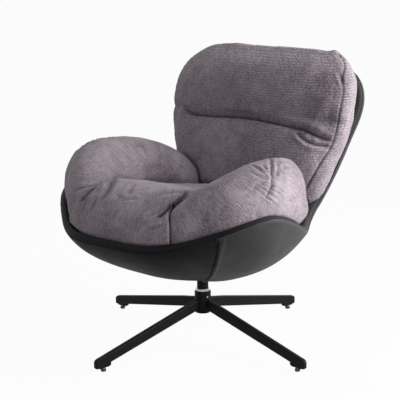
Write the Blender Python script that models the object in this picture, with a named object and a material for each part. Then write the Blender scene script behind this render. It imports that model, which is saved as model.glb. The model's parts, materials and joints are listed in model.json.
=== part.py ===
"""Swivel lounge chair: a padded petal-shaped shell on a four-spoke swivel base.

Metres, +Z up.  The origin lies on the floor on the swivel axis, the sitter
faces -Y, and +X is the sitter's left-hand side.
"""
import math

import bmesh
import bpy
import numpy as np
from mathutils import Matrix, Vector

# Gaps
GAP = 0.0004                # clearance between neighbouring pieces

# Base
HUB_R = 0.024               # collar outer radius
HUB_BORE_R = 0.019          # collar bore radius
HUB_BOTTOM = 0.081
HUB_TOP = 0.147
HUB_ROUND = 0.004
SPOKE_ANGLES = (-7.0, 83.0, 173.0, 263.0)   # degrees from the front, towards +X
SPOKE_W = 0.014             # spoke thickness across
SPOKE_TOP_ROOT = 0.1225     # height of the spoke's top edge at the collar
SPOKE_TOP_BEND_R = 0.084
SPOKE_TOP_BEND_Z = 0.110
SPOKE_TOP_TIP = 0.0388      # height of the top edge where it rounds off at the tip
SPOKE_LOW_ROOT = 0.0915     # height of the spoke's lower edge at the collar
SPOKE_LOW_TIP = 0.0121      # height of the lower edge at the tip
SPOKE_EDGE = 0.0028
TIP_ROUND = 0.0075          # rounding of the tip's upper corner
TIP_CHAMFER = 0.0031        # and of its lower corner
GLIDE_R = 0.375             # distance of the glides from the swivel axis
SHOE_BEHIND_GLIDE = 0.023   # from the glide back to the start of the shoe under the spoke
SHOE_PAST_GLIDE = 0.018
TIP_PAST_SHOE = 0.010
SHOE_START_R = GLIDE_R - SHOE_BEHIND_GLIDE
SHOE_END_R = GLIDE_R + SHOE_PAST_GLIDE
SPOKE_TIP_R = SHOE_END_R + TIP_PAST_SHOE
SHOE_DEPTH = 0.0011         # depth of the shoe under the spoke's lower edge at the tip
SHOE_Z = SPOKE_LOW_TIP - SHOE_DEPTH
PAD_R = 0.0075
PAD_H = 0.008
STUD_R = 0.0039
STUD_TOP = 0.030
STUD_HOLE_R = 0.0043
STUD_HOLE_TOP = 0.0305
SET_SCREW_R = 0.0021
SET_SCREW_Z = 0.131
SET_SCREW_ANGLE = 74.0

# Swivel column, with the bearing's stack from the retaining ring up to the upper race
SPINDLE_R = 0.0125
SPINDLE_LOW = 0.0868
RING_R = 0.0165
RING_LOW = 0.0902
RING_T = 0.0010
RING_GROOVE_D = 0.0014
WASHER_R = 0.0172
WASHER_LOW = RING_LOW + RING_T + 0.0006
WASHER_T = 0.0022
BUSH_LOWER_LOW = WASHER_LOW + WASHER_T + 0.0005
BUSH_LOWER_T = 0.0135
BUSH_UPPER_T = 0.0222
BUSH_UPPER_TOP = HUB_TOP - 0.0008
RACE_LOWER_R = 0.0212
RACE_UPPER_R = 0.0200
CAGE_R = 0.0190
RACE_T = 0.0019
RACE_EDGE = 0.0004
CAGE_LOW = HUB_TOP + GAP + RACE_T + GAP
RACE_UPPER_LOW = CAGE_LOW + RACE_T + GAP
SLEEVE_R = 0.0168
SLEEVE_BORE_R = 0.0129
SLEEVE_LOW = RACE_UPPER_LOW + RACE_T + 0.0006
PLATE_Z = 0.2215
PLATE_T = 0.005
PLATE_SIDE = 0.108
PLATE_BOLT = 0.5 * PLATE_SIDE - 0.014   # bolt offset from the axis along X and along Y
BOLT_R = 0.0030
BOLT_LEN = 0.011
BOLT_HEAD_R = 0.0055
BOLT_HEAD_H = 0.0038

# Shell
SHELL_T = 0.027             # thickness of the padded shell wall
SKIN_T = 0.0020             # leather
SHELL_LOW = 0.183           # height of the shell's outside at the column
CONE_RISE = 0.033
CONE_TILT = 0.006
COLUMN_HOLE_R = 0.0173
POCKET_R = 0.082
BLOCK_T = 0.052             # how far the cutter for the cushions reaches outside the shell
LINER_START = 0.235         # where the liner begins, as a fraction of the way to the rim
FRONT_RIBS = 14             # divisions of the rim between the side seams, in front
REAR_RIBS = 32              # and round the back
WELT_R = 0.0017
WELT_HALF_GAP = 0.0023
WELT_DEPTH = 0.0002         # depth of the welt's centre line under the leather's face
WELT_START = 0.34
WELT_END = 0.965

# Rim stations, front to back, on the sitter's left:
# rim point, compass angle of the rib at the column, first handle length,
# direction in which the rib reaches the rim, last handle length.
STATIONS = (
    ((0.000, -0.413, 0.378), 0, 0.20, (0.00, -0.30, 0.95), 0.085),
    ((0.145, -0.392, 0.378), 18, 0.20, (0.08, -0.31, 0.95), 0.085),
    ((0.258, -0.315, 0.403), 36, 0.21, (0.17, -0.25, 0.95), 0.095),
    ((0.340, -0.235, 0.437), 52, 0.23, (0.22, -0.14, 0.96), 0.130),
    ((0.379, -0.160, 0.452), 66, 0.23, (0.26, -0.02, 0.96), 0.155),
    ((0.380, -0.090, 0.431), 78, 0.22, (0.33, 0.06, 0.94), 0.145),
    ((0.355, 0.000, 0.392), 90, 0.21, (0.43, 0.15, 0.89), 0.125),
    ((0.318, 0.080, 0.360), 102, 0.20, (0.53, 0.24, 0.80), 0.105),
    ((0.283, 0.142, 0.349), 113, 0.19, (0.66, 0.26, 0.71), 0.090),
    ((0.257, 0.194, 0.372), 122, 0.19, (0.80, 0.00, 0.58), 0.085),
    ((0.258, 0.250, 0.430), 130, 0.19, (0.90, -0.22, 0.36), 0.095),
    ((0.275, 0.306, 0.512), 138, 0.20, (0.93, -0.26, 0.22), 0.110),
    ((0.292, 0.363, 0.611), 146, 0.22, (0.95, -0.14, 0.22), 0.125),
    ((0.295, 0.398, 0.695), 154, 0.24, (0.92, -0.02, 0.36), 0.150),
    ((0.256, 0.416, 0.762), 162, 0.25, (0.60, 0.14, 0.79), 0.220),
    ((0.140, 0.419, 0.787), 171, 0.25, (0.20, 0.20, 0.96), 0.320),
    ((0.000, 0.419, 0.792), 180, 0.25, (0.00, 0.22, 0.975), 0.370),
)
SEAM_ANGLE = 42.0           # compass angle of the side seams at the column

# Cushions.  Arm stations, front to back: centre x, y, half width, top height.
ARM_STATIONS = (
    (0.120, -0.335, 0.042, 0.440),
    (0.162, -0.297, 0.054, 0.486),
    (0.206, -0.251, 0.064, 0.529),
    (0.248, -0.201, 0.079, 0.557),
    (0.278, -0.146, 0.091, 0.577),
    (0.288, -0.085, 0.091, 0.584),
    (0.278, -0.022, 0.081, 0.582),
    (0.247, 0.035, 0.066, 0.571),
    (0.217, 0.082, 0.058, 0.555),
    (0.185, 0.124, 0.048, 0.526),
)
ARM_CENTRE_DROP = 0.105     # from the top of the arm down to its widest level
ARM_DEPTH = 0.135           # from the widest level down to the bottom
ARM_SEAM_POINT = (0.165, -0.330)
ARM_SEAM_NORMAL = (-0.77, -0.64)
SEAT_CORNER_CUT = 0.14      # how far the seat ends behind the seam, under the front of an arm

# Seat stations, front to back: y, half width, top height, half height down.
SEAT_STATIONS = (
    (-0.385, 0.150, 0.436, 0.060),
    (-0.358, 0.190, 0.464, 0.085),
    (-0.310, 0.225, 0.486, 0.130),
    (-0.245, 0.245, 0.497, 0.180),
    (-0.170, 0.250, 0.491, 0.215),
    (-0.085, 0.250, 0.473, 0.230),
    (0.010, 0.245, 0.457, 0.230),
    (0.105, 0.235, 0.446, 0.215),
    (0.190, 0.210, 0.438, 0.165),
)
SEAT_MID_DROP = 0.062
SEAT_POCKET_R = 0.086
SEAT_POCKET_TOP = 0.2325

# Back stations, bottom to top: y, z, half width, half thickness front, half thickness rear.
BACK_STATIONS = (
    (0.226, 0.352, 0.222, 0.050, 0.024),
    (0.236, 0.400, 0.245, 0.076, 0.042),
    (0.240, 0.450, 0.266, 0.088, 0.062),
    (0.251, 0.515, 0.292, 0.094, 0.080),
    (0.263, 0.575, 0.308, 0.088, 0.088),
    (0.270, 0.611, 0.313, 0.076, 0.091),
    (0.275, 0.633, 0.314, 0.064, 0.092),
    (0.280, 0.655, 0.318, 0.078, 0.094),
    (0.294, 0.715, 0.319, 0.094, 0.096),
    (0.311, 0.773, 0.308, 0.090, 0.095),
    (0.330, 0.831, 0.280, 0.066, 0.072),
)
BACK_END_ROUND = 5.5
BACK_CORNER = 0.040         # the upper corner on the sitter's left stands out by this much
# Half of the back's cross-section, front to rear: share of the half width, share of the
# thickness, and how much wider the upper half is there.
BACK_SECTION = (
    (0.00, -1.00, 0.00),
    (0.34, -0.97, 0.00),
    (0.61, -0.89, 0.00),
    (0.81, -0.74, 0.00),
    (0.94, -0.53, 0.00),
    (1.00, -0.26, 0.00),
    (0.99, 0.05, 0.01),
    (0.95, 0.38, 0.03),
    (0.90, 0.70, 0.04),
    (0.80, 0.92, 0.05),
    (0.55, 1.00, 0.03),
    (0.28, 1.00, 0.01),
    (0.00, 1.00, 0.00),
)


def clear_scene():
    for obj in list(bpy.data.objects):
        bpy.data.objects.remove(obj, do_unlink=True)


def material(name, colour, roughness, metallic=0.0):
    mat = bpy.data.materials.new(name)
    mat.use_nodes = True
    shader = mat.node_tree.nodes["Principled BSDF"]
    shader.inputs["Base Color"].default_value = (*colour, 1.0)
    shader.inputs["Roughness"].default_value = roughness
    shader.inputs["Metallic"].default_value = metallic
    return mat


def empty(name, location):
    obj = bpy.data.objects.new(name, None)
    obj.location = location
    bpy.context.scene.collection.objects.link(obj)
    return obj


def place(name, bm, mat, location=(0, 0, 0), parent=None, smooth=40.0):
    bmesh.ops.recalc_face_normals(bm, faces=bm.faces)
    mesh = bpy.data.meshes.new(name)
    bm.to_mesh(mesh)
    bm.free()
    mesh.shade_smooth()
    mesh.set_sharp_from_angle(angle=math.radians(smooth))
    return place_mesh(name, mesh, mat, location, parent)


def place_mesh(name, mesh, mat, location=(0, 0, 0), parent=None):
    obj = bpy.data.objects.new(name, mesh)
    if mat is not None and not mesh.materials:
        mesh.materials.append(mat)
    obj.location = location
    bpy.context.scene.collection.objects.link(obj)
    if parent is not None:
        obj.parent = parent
        obj.matrix_parent_inverse = Matrix.Translation(parent.location).inverted()
    return obj


def as_cutter(obj):
    obj.hide_render = True
    obj.display_type = "WIRE"
    return obj


def boolean(obj, cutter, operation="DIFFERENCE"):
    mod = obj.modifiers.new(f"{operation.lower()}_{cutter.name}"[:60], "BOOLEAN")
    mod.operation = operation
    mod.object = cutter
    mod.solver = "EXACT"
    return mod


def turned(profile, segments, closed=True):
    """Solid of revolution about Z from (radius, height) points.

    A closed profile gives a ring; an open one starts and ends on the axis.
    """
    bm = bmesh.new()
    rings = []
    for radius, z in profile:
        if radius < 1e-7:
            rings.append([bm.verts.new((0, 0, z))])
        else:
            rings.append([
                bm.verts.new((radius * math.cos(a), radius * math.sin(a), z))
                for a in (2 * math.pi * k / segments for k in range(segments))
            ])
    pairs = list(zip(rings, rings[1:]))
    if closed:
        pairs.append((rings[-1], rings[0]))
    for low, high in pairs:
        for k in range(segments):
            n = (k + 1) % segments
            corners = [low[k % len(low)], low[n % len(low)], high[n % len(high)], high[k % len(high)]]
            face = []
            for vert in corners:
                if vert not in face:
                    face.append(vert)
            bm.faces.new(face)
    return bm


def ring_profile(inner, outer, low, high, edge=0.0):
    if edge <= 0:
        return [(inner, low), (outer, low), (outer, high), (inner, high)]
    return [
        (inner, low),
        (outer - edge, low),
        (outer, low + edge),
        (outer, high - edge),
        (outer - edge, high),
        (inner, high),
    ]


def cylinder(radius, low, high, segments):
    return turned([(0, low), (radius, low), (radius, high), (0, high)], segments, closed=False)


def extruded(outline, width, edge, segments=2):
    """Solid from an (x, z) outline, extruded across Y, with rounded long edges."""
    bm = bmesh.new()
    near = [bm.verts.new((x, -width / 2, z)) for x, z in outline]
    face = bm.faces.new(near)
    result = bmesh.ops.extrude_face_region(bm, geom=[face])
    moved = [g for g in result["geom"] if isinstance(g, bmesh.types.BMVert)]
    bmesh.ops.translate(bm, vec=(0, width, 0), verts=moved)
    bmesh.ops.recalc_face_normals(bm, faces=bm.faces)
    if edge > 0:
        rim = [e for e in bm.edges if abs(e.verts[0].co.y - e.verts[1].co.y) < 1e-6]
        bmesh.ops.bevel(
            bm, geom=rim, offset=edge, segments=segments, profile=0.5, affect="EDGES", clamp_overlap=True
        )
    return bm


def spoke_low_edge(radius):
    """Height of a spoke's straight lower edge at a distance from the swivel axis."""
    share = (radius - HUB_R) / (SHOE_END_R - HUB_R)
    return SPOKE_LOW_ROOT + (SPOKE_LOW_TIP - SPOKE_LOW_ROOT) * share


def compass(angle):
    """Unit vector at an angle in degrees from the front (-Y) towards +X."""
    a = math.radians(angle)
    return Vector((math.sin(a), -math.cos(a), 0.0))


def turn_to(angle):
    """Rotation about Z that carries +X to the compass angle."""
    return Matrix.Rotation(math.radians(angle - 90.0), 4, "Z")


# Shell surface

def periodic_spline(knots, values):
    """Periodic cubic spline through the values; returns a function of the parameter."""
    x = np.asarray(knots, float)
    y = np.asarray(values, float)
    n = len(x) - 1
    h = np.diff(x)
    matrix = np.zeros((n, n))
    right = np.zeros((n, y.shape[1]))
    for i in range(n):
        before = (i - 1) % n
        matrix[i, before] += h[before]
        matrix[i, i] += 2 * (h[before] + h[i])
        matrix[i, (i + 1) % n] += h[i]
        rise = (y[i + 1] - y[i]) / h[i]
        rise_before = (y[before + 1] - y[before]) / h[before]
        right[i] = 6 * (rise - rise_before)
    bend = np.linalg.solve(matrix, right)
    bend = np.vstack([bend, bend[:1]])

    def value(t):
        t = t % 1.0
        i = min(int(np.searchsorted(x, t, side="right")) - 1, n - 1)
        a = x[i + 1] - t
        b = t - x[i]
        return (
            bend[i] * a ** 3 / (6 * h[i])
            + bend[i + 1] * b ** 3 / (6 * h[i])
            + (y[i] / h[i] - bend[i] * h[i] / 6) * a
            + (y[i + 1] / h[i] - bend[i + 1] * h[i] / 6) * b
        )

    return value


class Shell:
    """Ribs run from the column to the rim; t goes once round the rim, u along a rib."""

    def __init__(self):
        rows = list(STATIONS)
        for rim, angle, first, way, last in STATIONS[-2:0:-1]:
            rows.append(((-rim[0], rim[1], rim[2]), 360 - angle, first, (-way[0], way[1], way[2]), last))
        rows.append(rows[0])
        rims = []
        lows = []
        highs = []
        for rim, angle, first, way, last in rows:
            a = math.radians(angle)
            out = compass(angle) * first
            rims.append(rim)
            lows.append((out.x, out.y, SHELL_LOW + CONE_RISE + CONE_TILT * math.cos(a)))
            highs.append(tuple(Vector(rim) - last * Vector(way).normalized()))
        rims = np.array(rims)
        steps = np.linalg.norm(np.diff(rims, axis=0), axis=1)
        knots = np.concatenate([[0.0], np.cumsum(steps)]) / steps.sum()
        self.low = periodic_spline(knots, np.array(lows))
        self.high = periodic_spline(knots, np.array(highs))
        self.rim = periodic_spline(knots, rims)

    def point(self, u, t):
        v = 1 - u
        foot = np.array([0.0, 0.0, SHELL_LOW])
        return v ** 3 * foot + 3 * u * v * v * self.low(t) + 3 * u * u * v * self.high(t) + u ** 3 * self.rim(t)

    def frame(self, u, t):
        """Surface point, inward normal and the direction along the rib."""
        du = 1e-3
        dt = 1e-3
        along = self.point(u + du, t) - self.point(u - du, t)
        across = self.point(u, t + dt) - self.point(u, t - dt)
        normal = np.cross(along, across)
        normal /= np.linalg.norm(normal)
        edge = np.cross(normal, across)
        edge /= np.linalg.norm(edge)
        if np.dot(edge, along) < 0:
            edge = -edge
        return self.point(u, t), normal, edge

    def offset(self, u, t, depth):
        point, normal, _ = self.frame(u, t)
        return point + normal * depth

    def last(self, t):
        """Rib fraction at which the rounded rim begins."""
        speed = np.linalg.norm(3 * (self.rim(t) - self.high(t)))
        return 1 - 0.5 * SHELL_T / speed

    def rim_arc(self, t, radius, degrees):
        """Point on the rounded rim: 0 degrees outside, 90 at the top, 180 inside."""
        point, normal, edge = self.frame(self.last(t), t)
        a = math.radians(degrees)
        return point + normal * (0.5 * SHELL_T - radius * math.cos(a)) + edge * radius * math.sin(a)

    def at_radius(self, t, depth, radius):
        """Point of the offset surface at the given distance from the column axis."""
        low = 0.0005
        high = 0.6
        for _ in range(40):
            mid = 0.5 * (low + high)
            p = self.offset(mid, t, depth)
            if math.hypot(p[0], p[1]) < radius:
                low = mid
            else:
                high = mid
        p = self.offset(high, t, depth)
        scale = radius / math.hypot(p[0], p[1])
        return np.array([p[0] * scale, p[1] * scale, p[2]])

    def t_of_angle(self, angle):
        """Parameter of the rib that leaves the column at a compass angle."""
        low = 0.0
        high = 0.5
        for _ in range(40):
            mid = 0.5 * (low + high)
            p = self.low(mid)
            if math.degrees(math.atan2(p[0], -p[1])) < angle:
                low = mid
            else:
                high = mid
        return 0.5 * (low + high)


def ladder(bm, here, there, k, n, turned_back):
    """Two triangles between two loops, cut along the same diagonal on every layer."""
    if turned_back:
        bm.faces.new((here[k], here[n], there[k]))
        bm.faces.new((here[n], there[n], there[k]))
    else:
        bm.faces.new((here[k], here[n], there[n]))
        bm.faces.new((here[k], there[n], there[k]))


def tube_mesh(loops, wrap, turn):
    """Closed solid from closed loops of points; wrap joins the last loop to the first.

    The loops run outwards to the rim up to the index turn, and back again after it.
    """
    bm = bmesh.new()
    rows = [[bm.verts.new(tuple(p)) for p in loop] for loop in loops]
    count = len(rows[0])
    pairs = list(zip(rows, rows[1:]))
    if wrap:
        pairs.append((rows[-1], rows[0]))
    for here, there in pairs:
        for k in range(count):
            ladder(bm, here, there, k, (k + 1) % count, k >= turn)
    if not wrap:
        for row in (rows[0], rows[-1]):
            for k in range(count // 2 - 1):
                bm.faces.new((row[k], row[k + 1], row[count - 2 - k], row[count - 1 - k]))
    return bm


RIB_STEPS = (0.10, LINER_START, 0.36, 0.49, 0.62, 0.75, 0.88, 1.0)
PANEL_EDGE = 28.0           # where the outer panels end on the rim, in degrees from outside
LINER_EDGE = PANEL_EDGE + 2.6
RIM_STEPS = (PANEL_EDGE, 54.0, 80.0, 104.0)
INNER_RIM_STEPS = (130.0, 155.0)


def rib_outside(shell, t, depth, hole):
    points = [shell.at_radius(t, depth, hole)]
    end = shell.last(t)
    points += [shell.offset(s * end, t, depth) for s in RIB_STEPS]
    return points


def outer_loop(shell, t):
    big = 0.5 * SHELL_T
    outside = rib_outside(shell, t, 0.0, COLUMN_HOLE_R)
    inside = rib_outside(shell, t, SKIN_T, COLUMN_HOLE_R)
    outside.append(shell.rim_arc(t, big, PANEL_EDGE))
    inside.append(shell.rim_arc(t, big - SKIN_T, PANEL_EDGE))
    return outside + inside[::-1]


def seam_edge(loop, neighbour):
    """The panel's edge: each point moves from the seam towards the next rib by half the seam's gap.

    Along the rib the gap holds the welt; round the rim the two panels nearly meet.
    """
    edge = []
    rib = len(RIB_STEPS) + 1
    for k, (here, there) in enumerate(zip(loop, neighbour)):
        step = np.linalg.norm(there - here)
        half_gap = GAP if rib <= k < len(loop) - rib else WELT_HALF_GAP
        edge.append(here + (there - here) * min(half_gap / step, 0.4))
    return edge


def welt_mesh(shell, t, around=7):
    """Piping along a side seam, from near the column up to the rim."""
    end = shell.last(t)
    points = []
    normals = []
    for k in range(12):
        u = end * (WELT_START + (WELT_END - WELT_START) * k / 11)
        point, normal, _ = shell.frame(u, t)
        points.append(Vector(point + normal * WELT_DEPTH))
        normals.append(Vector(normal))
    rings = []
    last = len(points) - 1
    for k, point in enumerate(points):
        way = (points[min(k + 1, last)] - points[max(k - 1, 0)]).normalized()
        side = way.cross(normals[k]).normalized()
        up = side.cross(way)
        radius = WELT_R * (0.55 if k in (0, last) else 1.0)
        rings.append([
            point + radius * (math.cos(a) * side + math.sin(a) * up)
            for a in (2 * math.pi * j / around for j in range(around))
        ])
    return form(rings)


def liner_loop(shell, t):
    end = shell.last(t)
    steps = [s for s in RIB_STEPS if s >= LINER_START]
    near = [shell.offset(s * end, t, SHELL_T) for s in steps]
    far = [shell.offset(s * end, t, SHELL_T - SKIN_T) for s in steps]
    big = 0.5 * SHELL_T
    small = big - SKIN_T
    arcs = INNER_RIM_STEPS[::-1] + RIM_STEPS[:0:-1] + (LINER_EDGE,)
    near += [shell.rim_arc(t, big, d) for d in arcs]
    far += [shell.rim_arc(t, small, d) for d in arcs]
    return near + far[::-1]


def core_loop(shell, t):
    depth_out = SKIN_T + GAP
    depth_in = SHELL_T - SKIN_T - GAP
    radius = 0.5 * SHELL_T - SKIN_T - GAP
    end = shell.last(t)
    points = rib_outside(shell, t, depth_out, COLUMN_HOLE_R)
    points += [shell.rim_arc(t, radius, d) for d in RIM_STEPS + INNER_RIM_STEPS]
    points += [shell.offset(s * end, t, depth_in) for s in RIB_STEPS[::-1] if s >= LINER_START]
    lip = shell.at_radius(t, depth_in, POCKET_R)
    points.append(lip)
    points.append(np.array([lip[0], lip[1], PLATE_Z - GAP]))
    scale = COLUMN_HOLE_R / POCKET_R
    points.append(np.array([lip[0] * scale, lip[1] * scale, PLATE_Z - GAP]))
    return points


def block_loop(shell, t, grow):
    """The shell wall as a solid cutter: thicker outside, and larger by the gap inside."""
    end = shell.last(t)
    depth = SHELL_T + grow
    points = [shell.offset(s * end, t, -BLOCK_T) for s in RIB_STEPS]
    radius = 0.5 * SHELL_T + grow
    points += [shell.rim_arc(t, radius, d) for d in (0.0,) + RIM_STEPS + INNER_RIM_STEPS + (180.0,)]
    points += [shell.offset(s * end, t, depth) for s in RIB_STEPS[-2::-1]]
    return points


def block_mesh(shell, ts, grow):
    loops = [block_loop(shell, t, grow) for t in ts]
    bm = bmesh.new()
    rows = [[bm.verts.new(tuple(p)) for p in loop] for loop in loops]
    count = len(rows[0])
    low_pole = bm.verts.new((0, 0, SHELL_LOW - BLOCK_T))
    high_pole = bm.verts.new((0, 0, SHELL_LOW + SHELL_T + grow))
    turn = len(RIB_STEPS) + len(RIM_STEPS)
    for here, there in zip(rows, rows[1:] + rows[:1]):
        for k in range(count - 1):
            ladder(bm, here, there, k, k + 1, k >= turn)
        bm.faces.new((low_pole, here[0], there[0]))
        bm.faces.new((high_pole, there[-1], here[-1]))
    return bm


# Cushion surfaces

def natural_curve(values, steps):
    """Smooth curve through stations, sampled evenly; Catmull-Rom with end tangents."""
    values = [np.array(v, float) for v in values]
    padded = [2 * values[0] - values[1]] + values + [2 * values[-1] - values[-2]]
    spans = len(values) - 1
    result = []
    for k in range(steps + 1):
        s = k / steps * spans
        i = min(int(s), spans - 1)
        f = s - i
        a, b, c, d = padded[i:i + 4]
        result.append(0.5 * (2 * b + (c - a) * f + (2 * a - 5 * b + 4 * c - d) * f ** 2 + (3 * b - a - 3 * c + d) * f ** 3))
    return result


def signed_power(value, exponent):
    return math.copysign(abs(value) ** exponent, value)


def end_factor(w, sharp):
    """Rounded closing of a form at both ends: 1 in the middle, 0 at w = 0 and w = 1."""
    return max(0.0, 1 - abs(2 * w - 1) ** sharp) ** (1 / sharp)


def form(sections):
    """Closed form from rings of points with a point at each end."""
    bm = bmesh.new()
    rows = [[bm.verts.new(tuple(p)) for p in ring] for ring in sections]
    count = len(rows[0])
    for here, there in zip(rows, rows[1:]):
        for k in range(count):
            n = (k + 1) % count
            bm.faces.new((here[k], here[n], there[n], there[k]))
    for row in (rows[0], rows[-1]):
        centre = sum((v.co for v in row), Vector()) / count
        pole = bm.verts.new(centre)
        for k in range(count):
            bm.faces.new((row[k], row[(k + 1) % count], pole))
    bmesh.ops.triangulate(bm, faces=bm.faces)
    return bm


def arm_form(side, grow, steps=20, around=22):
    stations = natural_curve(ARM_STATIONS, steps)
    rings = []
    for k, (cx, cy, half, top) in enumerate(stations):
        w = k / steps
        before = stations[max(k - 1, 0)]
        after = stations[min(k + 1, steps)]
        way = Vector((after[0] - before[0], after[1] - before[1])).normalized()
        out = Vector((way.y, -way.x))
        shrink = max(end_factor(0.03 + 0.94 * w, 6.0), 0.15)
        mid = top - ARM_CENTRE_DROP * min(1.0, half / 0.08)
        ring = []
        for j in range(around):
            a = 2 * math.pi * j / around
            across = signed_power(math.cos(a), 0.86) * (half * shrink + grow)
            up = signed_power(math.sin(a), 0.90)
            tall = (top - mid) * shrink + grow
            if up < 0:
                tall = ARM_DEPTH * shrink + grow
            ring.append((side * (cx + out.x * across), cy + out.y * across, mid + up * tall))
        rings.append(ring)
    return form(rings)


def seam_block(side, across, along):
    """Upright block at an arm's front seam, between two distances across the seam and two along it."""
    front = Vector(ARM_SEAM_NORMAL).normalized()
    way = Vector((-front.y, front.x))
    bm = bmesh.new()
    bmesh.ops.create_cube(bm, size=1.0)
    for vert in bm.verts:
        a = across[0] if vert.co.x < 0 else across[1]
        b = along[0] if vert.co.y < 0 else along[1]
        x, y = Vector(ARM_SEAM_POINT) + a * front + b * way
        vert.co = (side * x, y, 0.0 if vert.co.z < 0 else 1.0)
    bm.normal_update()
    return bm


def seat_form(grow, steps=13, around=22):
    stations = natural_curve(SEAT_STATIONS, steps)
    rings = []
    for k, (y, half, top, deep) in enumerate(stations):
        w = k / steps
        shrink = max(end_factor(0.02 + 0.96 * w, 5.0), 0.2)
        mid = top - SEAT_MID_DROP
        ring = []
        for j in range(around):
            a = 2 * math.pi * j / around
            across = signed_power(math.cos(a), 0.62) * (half * shrink + grow)
            up = signed_power(math.sin(a), 0.74)
            tall = (top - mid) * shrink + grow
            if up < 0:
                tall = deep * shrink + grow
            ring.append((across, y, mid + up * tall))
        rings.append(ring)
    return form(rings)


def back_form(grow, steps=20):
    stations = natural_curve(BACK_STATIONS, steps)
    outline = list(BACK_SECTION) + [(-x, d, -more) for x, d, more in BACK_SECTION[-2:0:-1]]
    rings = []
    for k, (y, z, half, front, rear) in enumerate(stations):
        w = k / steps
        before = stations[max(k - 1, 0)]
        after = stations[min(k + 1, steps)]
        way = Vector((after[0] - before[0], after[1] - before[1])).normalized()
        shrink = max(end_factor(0.02 + 0.96 * w, BACK_END_ROUND), 0.25)
        corner = BACK_CORNER * max(0.0, 4 * w - 3) ** 2
        upper = min(max((w - 0.42) / 0.25, 0.0), 1.0)
        ring = []
        for x, deep, more in outline:
            across = (x + more * upper) * (half * shrink + grow) + max(x, 0.0) * corner
            lean = deep * ((rear if deep > 0 else front) * shrink + grow)
            ring.append((across, y + way.y * lean, z - way.x * lean))
        rings.append(ring)
    return form(rings)


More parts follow.
